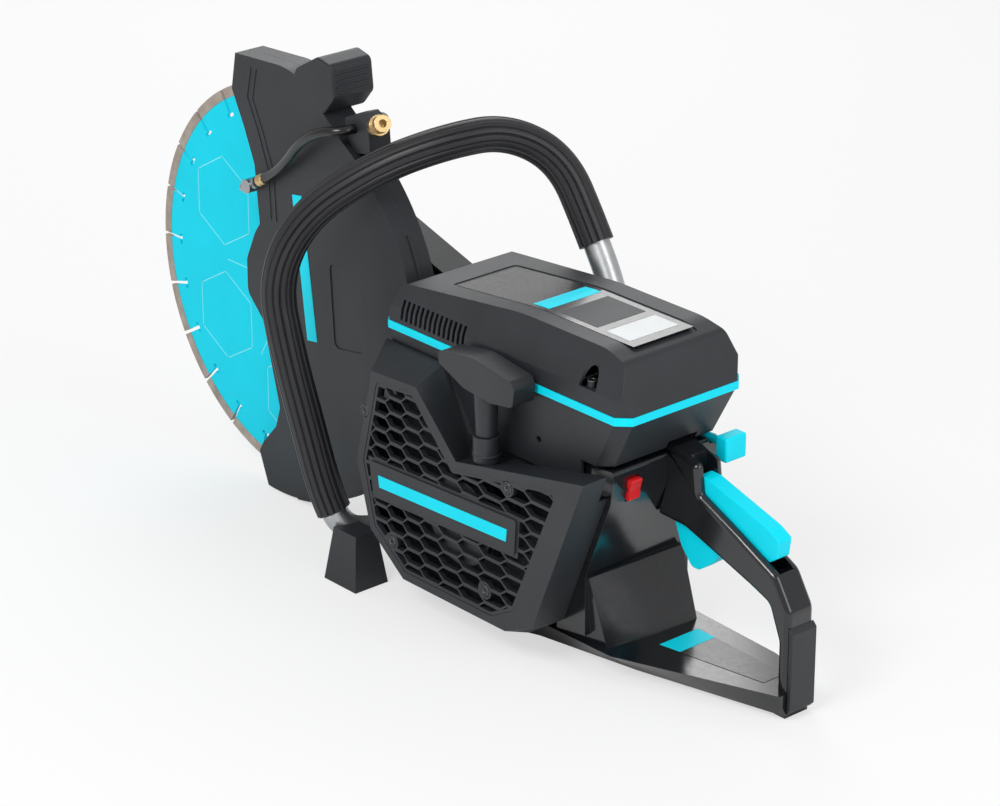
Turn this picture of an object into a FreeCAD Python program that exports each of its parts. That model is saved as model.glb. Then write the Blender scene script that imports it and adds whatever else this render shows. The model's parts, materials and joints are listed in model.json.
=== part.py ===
import FreeCAD, Part
import math
import os

V = FreeCAD.Vector

# Rescue saw with a 350 mm cutting blade, in millimetres.
# +X points to the blade, +Y to the starter side, +Z up.
# While it is modelled, the blade's centre is over X = 0, Y = 0 and the floor is Z = 0.
# At the end every piece is shifted so that the origin is the bottom centre of the whole saw.

# ---------------------------------------------------------------- driving dimensions
RUN_GAP = 0.05            # radial clearance of a shaft in its bore
FACE_GAP = 0.4            # space between faces of pieces that move past each other

BLADE_RADIUS = 175.0
BLADE_CENTRE_Z = 184.0
BLADE_CORE_THICKNESS = 2.8
SEGMENT_COUNT = 24
SEGMENT_HEIGHT = 8.5
SEGMENT_THICKNESS = 3.6
GULLET_WIDTH = 3.0
GULLET_DEPTH = 14.0
GULLET_FOOT = 9.0
ARBOR_RADIUS = 12.7
FLANGE_RADIUS = 50.0
FLANGE_THICKNESS = 3.4

GUARD_RADIUS = 182.5
GUARD_LEFT_Y = 19.0
GUARD_RIGHT_Y = -10.0
GUARD_SPLIT_Y = 5.0
GUARD_WALL = 2.5
GUARD_PIVOT_RADIUS = 26.0
GUARD_BACK_SWING = 12.0   # degrees that the guard can tip back from its rest place
GUARD_FRONT_SWING = 40.0

# Covers, tank and handles are drawn about the body's own middle plane, then moved here.
BODY_PLACE = V(10.0, -9.0, 0.0)

CRANK_X = -305.0
CRANK_Z = 98.0
CRANK_THROW = 17.0
ROD_LENGTH = 72.0
BORE_RADIUS = 27.0
CRANKCASE_HALF_WIDTH = 46.0
MAIN_JOURNAL_RADIUS = 7.5
MAIN_BEARING_RADIUS = 17.5

BELT_Y = -74.0
BELT_WIDTH = 12.0
BELT_THICKNESS = 5.0
DRIVE_PULLEY_RADIUS = 30.0
DRIVEN_PULLEY_RADIUS = 55.0

COVER_FRONT_X = -200.0
COVER_REAR_X = -474.0
COVER_HALF_WIDTH = 64.0
COVER_TOP_HALF_WIDTH = 46.0
COVER_CORNER = 10.0
COVER_WALL = 2.5
STRIPE_LOW_Z = 221.0
STRIPE_HEIGHT = 6.5
SHROUD_LOW_Z = 180.0
SHROUD_SKIRT = 22.0         # how far the side walls reach below the rear edge
SHROUD_LOW_REAR_X = -440.0
SHROUD_WALL = 3.0

STARTER_OUTER_Y = 92.0
STARTER_SHOULDER_Y = 66.0
STARTER_INNER_Y = 64.0
STARTER_SKIRT_Y = 55.2
STARTER_WALL = 3.0
CELL_WALL = 3.0

HANDLE_TUBE_RADIUS = 11.0
HANDLE_SLEEVE_RADIUS = 14.5
HANDLE_SLEEVE_BORE = 11.1

GRIP_LEFT_Y = -3.0
GRIP_RIGHT_Y = -31.0
GRIP_MID_Y = (GRIP_LEFT_Y + GRIP_RIGHT_Y) / 2
GRIP_ROUNDING = 5.0

GUIDE_X = -338.0
GUIDE_Y = 79.0
ROPE_RADIUS = 2.2
ROPE_PULL = 800.0
ROPE_DRUM_RADIUS = 30.0


# ---------------------------------------------------------------- helpers
def box(x0, x1, y0, y1, z0, z1):
    return Part.makeBox(x1 - x0, y1 - y0, z1 - z0, V(x0, y0, z0))


def rod_y(x, z, y0, y1, radius):
    return Part.makeCylinder(radius, y1 - y0, V(x, y0, z), V(0, 1, 0))


def ring_y(x, z, y0, y1, outer, inner):
    return rod_y(x, z, y0, y1, outer).cut(rod_y(x, z, y0 - 1, y1 + 1, inner))


def rod_z(x, y, z0, z1, radius):
    return Part.makeCylinder(radius, z1 - z0, V(x, y, z0))


def rod_between(start, end, radius):
    along = end - start
    return Part.makeCylinder(radius, along.Length, start, along)


def closed_wire(points):
    return Part.makePolygon(list(points) + [points[0]])


def rounded_wire(points, radii):
    """A closed flat outline whose corners are arcs. A radius of 0 keeps the corner sharp."""
    edges = []
    count = len(points)
    starts = []
    ends = []
    mids = []
    for i in range(count):
        here = points[i]
        back = (points[i - 1] - here).normalize()
        ahead = (points[(i + 1) % count] - here).normalize()
        half = back.getAngle(ahead) / 2
        radius = radii[i]
        if radius <= 0 or abs(half - math.pi / 2) < 1e-4:
            starts.append(here)
            ends.append(here)
            mids.append(None)
            continue
        reach = radius / math.tan(half)
        middle = (back + ahead).normalize()
        starts.append(here + back * reach)
        ends.append(here + ahead * reach)
        mids.append(here + middle * (radius / math.sin(half) - radius))
    for i in range(count):
        if mids[i] is not None:
            edges.append(Part.Arc(starts[i], mids[i], ends[i]).toShape())
        after = (i + 1) % count
        if (starts[after] - ends[i]).Length > 1e-6:
            edges.append(Part.LineSegment(ends[i], starts[after]).toShape())
    return Part.Wire(edges)


def as_radii(points, radius):
    return radius if isinstance(radius, (list, tuple)) else [radius] * len(points)


def prism_y(outline, y0, y1, radius=0.0):
    """Extrude an (X, Z) outline from y0 to y1."""
    points = [V(x, y0, z) for x, z in outline]
    wire = rounded_wire(points, as_radii(points, radius))
    return Part.Face(wire).extrude(V(0, y1 - y0, 0))


def prism_x(outline, x0, x1, radius=0.0):
    """Extrude a (Y, Z) outline from x0 to x1."""
    points = [V(x0, y, z) for y, z in outline]
    wire = rounded_wire(points, as_radii(points, radius))
    return Part.Face(wire).extrude(V(x1 - x0, 0, 0))


def prism_z(outline, z0, z1, radius=0.0):
    """Extrude an (X, Y) outline from z0 to z1."""
    points = [V(x, y, z0) for x, y in outline]
    wire = rounded_wire(points, as_radii(points, radius))
    return Part.Face(wire).extrude(V(0, 0, z1 - z0))


def ruled_solid(first, second):
    """A solid with straight sides between two closed outlines with as many points."""
    return Part.makeLoft([closed_wire(first), closed_wire(second)], True, True)


def fuse_all(shapes):
    return shapes[0].multiFuse(shapes[1:]).removeSplitter()


def group(shapes):
    return Part.makeCompound(shapes)


def bend_radius(before, corner, after):
    """The largest arc that fits two runs: 0.45 of the shorter run over the tangent of half the turn."""
    turn = (corner - before).getAngle(after - corner)
    shorter = min((corner - before).Length, (after - corner).Length)
    return 0.45 * shorter / math.tan(turn / 2)


def route_wire(points):
    """Straight runs joined by tangent arcs."""
    edges = []
    here = points[0]
    for i in range(1, len(points) - 1):
        corner = points[i]
        back = (points[i - 1] - corner).normalize()
        ahead = (points[i + 1] - corner).normalize()
        half = back.getAngle(ahead) / 2
        radius = bend_radius(points[i - 1], corner, points[i + 1])
        reach = radius / math.tan(half)
        start = corner + back * reach
        end = corner + ahead * reach
        middle = corner + (back + ahead).normalize() * (radius / math.sin(half) - radius)
        edges.append(Part.LineSegment(here, start).toShape())
        edges.append(Part.Arc(start, middle, end).toShape())
        here = end
    edges.append(Part.LineSegment(here, points[-1]).toShape())
    return Part.Wire(edges)


def swept_rod(points, radius):
    path = route_wire(points)
    along = points[1] - points[0]
    section = Part.Wire([Part.makeCircle(radius, points[0], along)])
    return path.makePipeShell([section], True, True)


def swept_tube(points, outer, inner):
    return swept_rod(points, outer).cut(swept_rod(points, inner))


# ---------------------------------------------------------------- blade and arbor
def gullet(angle):
    """A T-shaped slot between two cutting segments."""
    rim = BLADE_RADIUS - SEGMENT_HEIGHT
    foot = rim - GULLET_DEPTH
    half = BLADE_CORE_THICKNESS
    slot = box(foot, BLADE_RADIUS, -half, half, -GULLET_WIDTH / 2, GULLET_WIDTH / 2)
    cross = box(foot - GULLET_WIDTH / 2, foot + GULLET_WIDTH / 2, -half, half, -GULLET_FOOT / 2, GULLET_FOOT / 2)
    tool = slot.fuse(cross)
    tool.rotate(V(0, 0, 0), V(0, 1, 0), angle)
    tool.translate(V(0, 0, BLADE_CENTRE_Z))
    return tool


def blade_core():
    half = BLADE_CORE_THICKNESS / 2
    core = ring_y(0, BLADE_CENTRE_Z, -half, half, BLADE_RADIUS - SEGMENT_HEIGHT, ARBOR_RADIUS + RUN_GAP)
    step = 360.0 / SEGMENT_COUNT
    return core.cut(group([gullet(i * step) for i in range(SEGMENT_COUNT)]))


def blade_segment(angle):
    half = SEGMENT_THICKNESS / 2
    inner = BLADE_RADIUS - SEGMENT_HEIGHT
    sweep = 360.0 / SEGMENT_COUNT - math.degrees(GULLET_WIDTH / BLADE_RADIUS)
    face = Part.makeCylinder(BLADE_RADIUS, 2 * half, V(0, -half, 0), V(0, 1, 0), sweep)
    segment = face.cut(rod_y(0, 0, -half - 1, half + 1, inner))
    segment.rotate(V(0, 0, 0), V(0, 1, 0), angle)
    segment.translate(V(0, 0, BLADE_CENTRE_Z))
    return segment


def blade_segments():
    step = 360.0 / SEGMENT_COUNT
    lead = math.degrees(GULLET_WIDTH / BLADE_RADIUS) / 2
    spare = blade_segment(0.0)
    turn = measured_turn(spare)
    return group([blade_segment(lead - turn + i * step) for i in range(SEGMENT_COUNT)])


def measured_turn(segment):
    """The angle about +Y at which the first segment starts, so that the gaps meet the gullets."""
    angles = []
    for vertex in segment.Vertexes:
        x = vertex.Point.x
        z = vertex.Point.z - BLADE_CENTRE_Z
        angles.append(math.degrees(math.atan2(-z, x)) % 360.0)
    low = min(angles)
    high = max(angles)
    return high if high - low > 180.0 else low


FLANGE_INNER_Y = -BLADE_CORE_THICKNESS / 2 - FLANGE_THICKNESS
FLANGE_OUTER_Y = BLADE_CORE_THICKNESS / 2 + FLANGE_THICKNESS
BOSS_FACE_Y = GUARD_RIGHT_Y - FACE_GAP
RETAINER_Y0 = GUARD_RIGHT_Y + GUARD_WALL + FACE_GAP
RETAINER_Y1 = FLANGE_INNER_Y - FACE_GAP
ARM_OUTER_Y = -60.0
BEARING_RADIUS = 17.5
ARBOR_SHAFT_RADIUS = 8.5
SHAFT_RIGHT_Y = BELT_Y - BELT_WIDTH / 2 - 4.0


def outer_flange():
    plate = ring_y(0, BLADE_CENTRE_Z, BLADE_CORE_THICKNESS / 2, FLANGE_OUTER_Y, FLANGE_RADIUS, ARBOR_SHAFT_RADIUS)
    relief = ring_y(0, BLADE_CENTRE_Z, BLADE_CORE_THICKNESS / 2 - 1, BLADE_CORE_THICKNESS / 2 + 0.6, 38.0, 20.0)
    return plate.cut(relief)


def inner_flange():
    plate = ring_y(0, BLADE_CENTRE_Z, FLANGE_INNER_Y, -BLADE_CORE_THICKNESS / 2, FLANGE_RADIUS, ARBOR_SHAFT_RADIUS)
    relief = ring_y(0, BLADE_CENTRE_Z, -BLADE_CORE_THICKNESS / 2 - 0.6, 0, 38.0, 20.0)
    hub = ring_y(0, BLADE_CENTRE_Z, -22.0, FLANGE_INNER_Y, 12.5, ARBOR_SHAFT_RADIUS)
    return plate.cut(relief).fuse(hub)


def blade_bolt():
    head_y = FLANGE_OUTER_Y + 2.4
    washer = rod_y(0, BLADE_CENTRE_Z, FLANGE_OUTER_Y, head_y, 15.0)
    corners = [(11.0 * math.cos(math.radians(60 * i)), BLADE_CENTRE_Z + 11.0 * math.sin(math.radians(60 * i)))
               for i in range(6)]
    head = prism_y(corners, head_y, head_y + 6.0)
    shank = rod_y(0, BLADE_CENTRE_Z, -24.0, FLANGE_OUTER_Y, 5.0)
    return fuse_all([washer, head, shank])


def arbor_shaft():
    """A shaft with a shoulder collar that carries the blade bore, bored for the bolt."""
    shaft = rod_y(0, BLADE_CENTRE_Z, SHAFT_RIGHT_Y, FLANGE_OUTER_Y - 0.6, ARBOR_SHAFT_RADIUS)
    collar = rod_y(0, BLADE_CENTRE_Z, -BLADE_CORE_THICKNESS / 2, BLADE_CORE_THICKNESS / 2, ARBOR_RADIUS)
    bore = rod_y(0, BLADE_CENTRE_Z, -24.0, FLANGE_OUTER_Y, 5.0)
    return shaft.fuse(collar).cut(bore).removeSplitter()


def arbor_bearings():
    rings = []
    for start in (-34.0, -58.0):
        rings.append(ring_y(0, BLADE_CENTRE_Z, start, start + 11.0, BEARING_RADIUS, ARBOR_SHAFT_RADIUS + RUN_GAP))
    return group(rings)


def pulley(x, z, y, radius, bore):
    """A grooved belt wheel centred on y."""
    half = BELT_WIDTH / 2
    body = ring_y(x, z, y - half - 2.0, y + half + 2.0, radius + 3.0, bore)
    groove = ring_y(x, z, y - half - FACE_GAP, y + half + FACE_GAP, radius + 4.0, radius)
    return body.cut(groove)


def driven_pulley():
    wheel = pulley(0, BLADE_CENTRE_Z, BELT_Y, DRIVEN_PULLEY_RADIUS, ARBOR_SHAFT_RADIUS)
    windows = []
    for i in range(6):
        angle = math.radians(60 * i)
        x = 33.0 * math.cos(angle)
        z = BLADE_CENTRE_Z + 33.0 * math.sin(angle)
        windows.append(rod_y(x, z, BELT_Y - 12.0, BELT_Y + 12.0, 9.5))
    return wheel.cut(group(windows))


# ---------------------------------------------------------------- arm, belt and belt cover
def tangent_outline(x0, z0, r0, x1, z1, r1, y0, y1):
    """A flat link whose ends are discs of two radii, with straight edges that touch both."""
    gap = math.hypot(x1 - x0, z1 - z0)
    heading = math.atan2(z1 - z0, x1 - x0)
    lean = math.acos((r0 - r1) / gap)
    points = []
    for sign in (1, -1):
        angle = heading + sign * lean
        points.append((V(x0 + r0 * math.cos(angle), y0, z0 + r0 * math.sin(angle)),
                       V(x1 + r1 * math.cos(angle), y0, z1 + r1 * math.sin(angle))))
    far0 = V(x0 - r0 * math.cos(heading), y0, z0 - r0 * math.sin(heading))
    far1 = V(x1 + r1 * math.cos(heading), y0, z1 + r1 * math.sin(heading))
    edges = [
        Part.LineSegment(points[0][0], points[0][1]).toShape(),
        Part.Arc(points[0][1], far1, points[1][1]).toShape(),
        Part.LineSegment(points[1][1], points[1][0]).toShape(),
        Part.Arc(points[1][0], far0, points[0][0]).toShape(),
    ]
    return Part.Face(Part.Wire(edges)).extrude(V(0, y1 - y0, 0))


ARM_REAR_X = -236.0
ARM_REAR_Z = 124.0
ARM_BOSS_RADIUS = 33.0


def cutting_arm():
    """The casting that carries the arbor, bolted to the crankcase."""
    plate = tangent_outline(0, BLADE_CENTRE_Z, 36.0, ARM_REAR_X, ARM_REAR_Z, 26.0, ARM_OUTER_Y, -48.0)
    rib = tangent_outline(0, BLADE_CENTRE_Z, 20.0, ARM_REAR_X + 40.0, ARM_REAR_Z + 8.0, 12.0, -48.0, -30.0)
    boss = rod_y(0, BLADE_CENTRE_Z, ARM_OUTER_Y, BOSS_FACE_Y, ARM_BOSS_RADIUS)
    spigot = rod_y(0, BLADE_CENTRE_Z, BOSS_FACE_Y, RETAINER_Y0, GUARD_PIVOT_RADIUS)
    bore = rod_y(0, BLADE_CENTRE_Z, ARM_OUTER_Y - 1, RETAINER_Y1 + 3, BEARING_RADIUS - 2.5)
    seat_front = rod_y(0, BLADE_CENTRE_Z, -34.0, RETAINER_Y1 + 3, BEARING_RADIUS)
    seat_rear = rod_y(0, BLADE_CENTRE_Z, ARM_OUTER_Y - 1, -47.0, BEARING_RADIUS)
    foot = box(ARM_REAR_X - 18.0, ARM_REAR_X + 8.0, -48.0, -CRANKCASE_HALF_WIDTH, ARM_REAR_Z - 20.0, ARM_REAR_Z + 20.0)
    body = fuse_all([plate, rib, boss, spigot, foot])
    return body.cut(bore).cut(seat_front).cut(seat_rear).cut(arm_bolt_holes())


def arm_bolt_places():
    return [(ARM_REAR_X - 8.0, ARM_REAR_Z + 12.0), (ARM_REAR_X - 8.0, ARM_REAR_Z - 12.0), (ARM_REAR_X + 4.0, ARM_REAR_Z)]


def arm_bolt_holes():
    return group([rod_y(x, z, ARM_OUTER_Y - 1, -34.0, 3.0) for x, z in arm_bolt_places()])


def arm_bolts():
    bolts = []
    for x, z in arm_bolt_places():
        head = rod_y(x, z, ARM_OUTER_Y - 5.0, ARM_OUTER_Y, 5.5)
        socket = rod_y(x, z, ARM_OUTER_Y - 6.0, ARM_OUTER_Y - 2.5, 2.5)
        shank = rod_y(x, z, ARM_OUTER_Y, -36.0, 3.0)
        bolts.append(head.cut(socket).fuse(shank))
    return group(bolts)


def guard_retainer():
    """The ring that keeps the guard on the arm's spigot."""
    return ring_y(0, BLADE_CENTRE_Z, RETAINER_Y0, RETAINER_Y1, ARM_BOSS_RADIUS, BEARING_RADIUS + 1.0)


def v_belt():
    y0 = BELT_Y - BELT_WIDTH / 2
    y1 = BELT_Y + BELT_WIDTH / 2
    lift = 0.3
    outer_driven = DRIVEN_PULLEY_RADIUS + lift + BELT_THICKNESS
    outer_drive = DRIVE_PULLEY_RADIUS + lift + BELT_THICKNESS
    outside = tangent_outline(0, BLADE_CENTRE_Z, outer_driven, CRANK_X, CRANK_Z, outer_drive, y0, y1)
    inside = tangent_outline(0, BLADE_CENTRE_Z, DRIVEN_PULLEY_RADIUS + lift, CRANK_X, CRANK_Z,
                             DRIVE_PULLEY_RADIUS + lift, y0 - 1, y1 + 1)
    return outside.cut(inside)


BELT_COVER_OUTER_Y = -92.0
BELT_COVER_WALL = 2.5
CLUTCH_COVER_RADIUS = 62.0


def belt_envelope(grow):
    """The outside of the belt cover, made larger by a clearance."""
    return tangent_outline(0, BLADE_CENTRE_Z, 68.0 + grow, CRANK_X, CRANK_Z, CLUTCH_COVER_RADIUS + grow,
                           BELT_COVER_OUTER_Y - grow, -CRANKCASE_HALF_WIDTH + grow)


def belt_cover():
    """The cover over belt and clutch, open towards the arm."""
    wide = tangent_outline(0, BLADE_CENTRE_Z, 68.0, CRANK_X, CRANK_Z, CLUTCH_COVER_RADIUS,
                           BELT_COVER_OUTER_Y, ARM_OUTER_Y)
    hollow = tangent_outline(0, BLADE_CENTRE_Z, 68.0 - BELT_COVER_WALL, CRANK_X, CRANK_Z,
                             CLUTCH_COVER_RADIUS - BELT_COVER_WALL, BELT_COVER_OUTER_Y + BELT_COVER_WALL, ARM_OUTER_Y + 1)
    shell = wide.cut(hollow)
    skirt = ring_y(CRANK_X, CRANK_Z, ARM_OUTER_Y, -CRANKCASE_HALF_WIDTH, CLUTCH_COVER_RADIUS,
                   CLUTCH_COVER_RADIUS - BELT_COVER_WALL)
    clear = tangent_outline(0, BLADE_CENTRE_Z, 37.0, ARM_REAR_X, ARM_REAR_Z, 27.0, ARM_OUTER_Y, -CRANKCASE_HALF_WIDTH + 1)
    slots = [box(CRANK_X - 34.0 + 12.0 * i, CRANK_X - 28.0 + 12.0 * i, BELT_COVER_OUTER_Y - 1,
                 BELT_COVER_OUTER_Y + 4, CRANK_Z - 28.0, CRANK_Z + 28.0) for i in range(6)]
    return shell.fuse(skirt.cut(clear)).removeSplitter().cut(group(slots))


# ---------------------------------------------------------------- blade guard
GUARD_TOP_RISE = 20.0
GUARD_CREST_X = -34.0


def guard_solid(inset, y0, y1):
    """A disc about the arbor whose upper front is raised to a crest."""
    z = BLADE_CENTRE_Z
    radius = GUARD_RADIUS - inset
    disc = rod_y(0, z, y0, y1, radius)
    blend = math.radians(134.0)
    crest = [(radius * math.cos(blend), z + radius * math.sin(blend)),
             (GUARD_CREST_X - inset * 0.4, z + GUARD_RADIUS + GUARD_TOP_RISE - inset),
             (70.0, z + GUARD_RADIUS + GUARD_TOP_RISE - 6.0 - inset), (70.0, z), (0.0, z)]
    return disc.fuse(prism_y(crest, y0, y1, [0, 60, 0, 0, 0])).removeSplitter()


def guard_profile(y0, y1):
    """The guard's side outline, cut off along its front edge, with a bulge at the hub."""
    disc = guard_solid(0.0, y0, y1)
    z = BLADE_CENTRE_Z
    front = [(12.0, z - 200.0), (14.0, z - 184.0), (26.0, z - 153.0), (20.0, z - 143.0), (2.0, z - 123.0), (-4.0, z - 104.0),
             (16.0, z - 30.0), (36.0, z - 10.0), (36.0, z + 20.0), (24.0, z + 46.0), (17.0, z + 56.0), (22.0, z + 107.0),
             (35.0, z + 137.0), (50.0, z + 166.0), (44.0, z + 198.0), (42.0, z + 230.0), (-220.0, z + 230.0), (-220.0, z - 200.0)]
    keep = prism_y(front, y0 - 1, y1 + 1, [0, 0, 3, 3, 6, 8, 8, 12, 12, 8, 4, 10, 10, 3, 3, 0, 0, 0])
    return disc.common(keep)


def guard_shell(y_face, y_split):
    """Half of the guard: a flat side with a rim that reaches the other half."""
    low = min(y_face, y_split)
    high = max(y_face, y_split)
    inward = 1.0 if y_split > y_face else -1.0
    full = guard_profile(low, high)
    cavity_low = low + GUARD_WALL if inward > 0 else low - 1
    cavity_high = high - GUARD_WALL if inward < 0 else high + 1
    cavity = guard_solid(GUARD_WALL, cavity_low, cavity_high)
    return full.cut(cavity)


def guard_left_shell():
    shell = guard_shell(GUARD_LEFT_Y, GUARD_SPLIT_Y)
    access = rod_y(0, BLADE_CENTRE_Z, GUARD_LEFT_Y - 5, GUARD_LEFT_Y + 1, 13.0)
    pocket = prism_y([(-75.0, BLADE_CENTRE_Z + 47.0), (-112.0, BLADE_CENTRE_Z + 52.0), (-118.0, BLADE_CENTRE_Z - 20.0),
                      (-80.0, BLADE_CENTRE_Z - 26.0)], GUARD_LEFT_Y - 0.8, GUARD_LEFT_Y + 1, 6.0)
    return shell.cut(access).cut(pocket)


def guard_right_shell():
    shell = guard_shell(GUARD_RIGHT_Y, GUARD_SPLIT_Y)
    pivot = rod_y(0, BLADE_CENTRE_Z, GUARD_RIGHT_Y - 1, GUARD_SPLIT_Y, GUARD_PIVOT_RADIUS + RUN_GAP)
    return shell.cut(pivot)


GUARD_GRIP_Y0 = -22.0
GUARD_GRIP_Y1 = 20.0


def guard_grip():
    """The ribbed block on the rim that the guard is turned by."""
    z = BLADE_CENTRE_Z
    outline = [(-28.0, z + 186.0), (-38.0, z + 205.0), (-66.0, z + 221.0), (-83.0, z + 217.0), (-86.0, z + 190.0),
               (-74.0, z + 176.0), (-50.0, z + 160.0), (-24.0, z + 160.0)]
    block = prism_y(outline, GUARD_GRIP_Y0, GUARD_GRIP_Y1, [6, 8, 8, 6, 6, 6, 0, 0])
    return block.cut(guard_solid(0.0, GUARD_GRIP_Y0 - 1, GUARD_GRIP_Y1 + 1))


# ---------------------------------------------------------------- water kit
WATER_INLET = V(-112, 3, 352)
WATER_AXIS = V(-0.83, 0.35, 0.43).normalize()


def water_bracket():
    """The tee block on the guard's rim that splits the water to both sides."""
    outline = [(-94.0, 330.0), (-124.0, 336.0), (-122.0, 358.0), (-108.0, 366.0), (-92.0, 360.0)]
    block = prism_y(outline, -8.0, 14.0, 3.0).cut(guard_solid(0.0, -40, 40))
    bore = rod_between(WATER_INLET, WATER_INLET + WATER_AXIS * 40.0, 5.0)
    return block.cut(bore)


def water_connector():
    """The brass hose tail with its hexagon."""
    start = WATER_INLET
    axis = WATER_AXIS
    stem = Part.makeCylinder(5.0, 19.0, start, axis)
    collar = Part.makeCylinder(8.5, 7.0, start + axis * 19.0, axis)
    body = Part.makeCylinder(7.0, 10.0, start + axis * 26.0, axis)
    through = Part.makeCylinder(3.2, 44.0, start - axis * 2.0, axis)
    return fuse_all([stem, collar, body]).cut(through)


LEFT_HOSE = [V(-104, 14, 353), V(-104, 26, 353), V(-84, 34, 350), V(-58, 34, 334), V(-34, 30, 310), V(-12, 27, 292.7),
             V(9.1, 27, 280.55)]
RIGHT_HOSE = [V(-104, -8, 353), V(-104, -20, 353), V(-84, -28, 350), V(-58, -28, 334), V(-34, -22, 310), V(-12, -18, 292.7),
              V(9.1, -18, 280.55)]
HOSE_RADIUS = 4.0


def hose(points):
    return swept_rod(points, HOSE_RADIUS)


def nozzle(y_face, side):
    """The jet that the hose ends in, seated on the guard's face."""
    y_far = y_face + side * 14.0
    low = min(y_face, y_far)
    high = max(y_face, y_far)
    base = rod_y(17.0, 276.0, low, high, 6.0)
    tip = Part.makeCylinder(3.4, 14.0, V(17.0, y_face + side * 7.0, 276.0), V(0.9, 0, -0.42))
    tail = Part.makeCylinder(4.6, 9.0, V(17.0, y_face + side * 8.0, 276.0), V(-0.87, 0, 0.5))
    return fuse_all([base, tip, tail])


def water_nozzles():
    return group([nozzle(GUARD_LEFT_Y, 1), nozzle(GUARD_RIGHT_Y, -1)])


# ---------------------------------------------------------------- engine
def crankcase():
    half = CRANKCASE_HALF_WIDTH
    outline = [(-370.0, 60.0), (-370.0, 150.0), (-354.0, 162.0), (-258.0, 162.0), (-226.0, 148.0), (-226.0, 70.0), (-252.0, 52.0),
               (-352.0, 52.0)]
    body = prism_y(outline, -half, half, 6.0)
    chamber = rod_y(CRANK_X, CRANK_Z, -24.0, 24.0, 42.0)
    front_pocket = box(-252.0, -230.0, -half + 14.0, half - 6.0, 74.0, 140.0)
    throat = rod_z(CRANK_X, 0, CRANK_Z, 170.0, BORE_RADIUS)
    seats = rod_y(CRANK_X, CRANK_Z, -half - 1, half + 1, MAIN_BEARING_RADIUS)
    return body.cut(chamber).cut(front_pocket).cut(throat).cut(seats).cut(arm_bolt_holes())


def crank_bearings():
    half = CRANKCASE_HALF_WIDTH
    return group([ring_y(CRANK_X, CRANK_Z, side * 32.0 - 6.0, side * 32.0 + 6.0, MAIN_BEARING_RADIUS,
                         MAIN_JOURNAL_RADIUS + RUN_GAP) for side in (-1, 1)] +
                 [ring_y(CRANK_X, CRANK_Z, half - 4.0, half, MAIN_BEARING_RADIUS, MAIN_JOURNAL_RADIUS + 1.0)])


CYLINDER_BASE_Z = 162.0
CYLINDER_TOP_Z = 238.0
FIN_COUNT = 8


def cylinder():
    barrel = rod_z(CRANK_X, 0, CYLINDER_BASE_Z, CYLINDER_TOP_Z - 4.0, BORE_RADIUS + 5.0)
    flange = box(CRANK_X - 36.0, CRANK_X + 36.0, -36.0, 36.0, CYLINDER_BASE_Z, CYLINDER_BASE_Z + 5.0)
    pitch = (CYLINDER_TOP_Z - CYLINDER_BASE_Z - 10.0) / FIN_COUNT
    fins = []
    for i in range(FIN_COUNT):
        z = CYLINDER_BASE_Z + 12.0 + pitch * i
        fins.append(box(CRANK_X - 44.0, CRANK_X + 44.0, -44.0, 44.0, z, z + 2.0))
    body = fuse_all([barrel, flange] + fins)
    bore = rod_z(CRANK_X, 0, CYLINDER_BASE_Z - 1, 212.0, BORE_RADIUS)
    plug_hole = rod_z(CRANK_X, 0, 205.0, CYLINDER_TOP_Z + 1, 5.0)
    exhaust = Part.makeCylinder(10.0, 40.0, V(CRANK_X + 20.0, 0, 190.0), V(1, 0, 0))
    intake = Part.makeCylinder(9.0, 40.0, V(CRANK_X - 20.0, 0, 186.0), V(-1, 0, 0))
    return body.cut(bore).cut(plug_hole).cut(exhaust).cut(intake)


def piston():
    outer = rod_z(CRANK_X, 0, 183.0, 210.0, BORE_RADIUS - RUN_GAP)
    inner = rod_z(CRANK_X, 0, 182.0, 204.0, BORE_RADIUS - 2.2)
    return outer.cut(inner)


def connecting_rod():
    big_z = CRANK_Z + CRANK_THROW
    small_z = big_z + ROD_LENGTH
    big = rod_y(CRANK_X, big_z, -5.5, 5.5, 12.0)
    small = rod_y(CRANK_X, small_z, -5.5, 5.5, 8.0)
    shank = box(CRANK_X - 5.0, CRANK_X + 5.0, -3.5, 3.5, big_z, small_z)
    hole = rod_y(CRANK_X, big_z, -6.0, 6.0, 7.0 + RUN_GAP)
    pin = rod_y(CRANK_X, small_z, -11.0, 11.0, 5.0)
    return fuse_all([big, small, shank]).cut(hole).fuse(pin).removeSplitter()


def crankshaft():
    pin_z = CRANK_Z + CRANK_THROW
    left = rod_y(CRANK_X, CRANK_Z, 7.0, FLYWHEEL_Y1, MAIN_JOURNAL_RADIUS)
    right = rod_y(CRANK_X, CRANK_Z, -86.0, -7.0, MAIN_JOURNAL_RADIUS)
    webs = [rod_y(CRANK_X, CRANK_Z, 7.0, 18.0, 36.0), rod_y(CRANK_X, CRANK_Z, -18.0, -7.0, 36.0)]
    pin = rod_y(CRANK_X, pin_z, -7.5, 7.5, 7.0)
    return fuse_all([left, right, pin] + webs)


FLYWHEEL_RADIUS = 38.0
FLYWHEEL_Y0 = 48.0
FLYWHEEL_Y1 = 59.0


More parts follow.
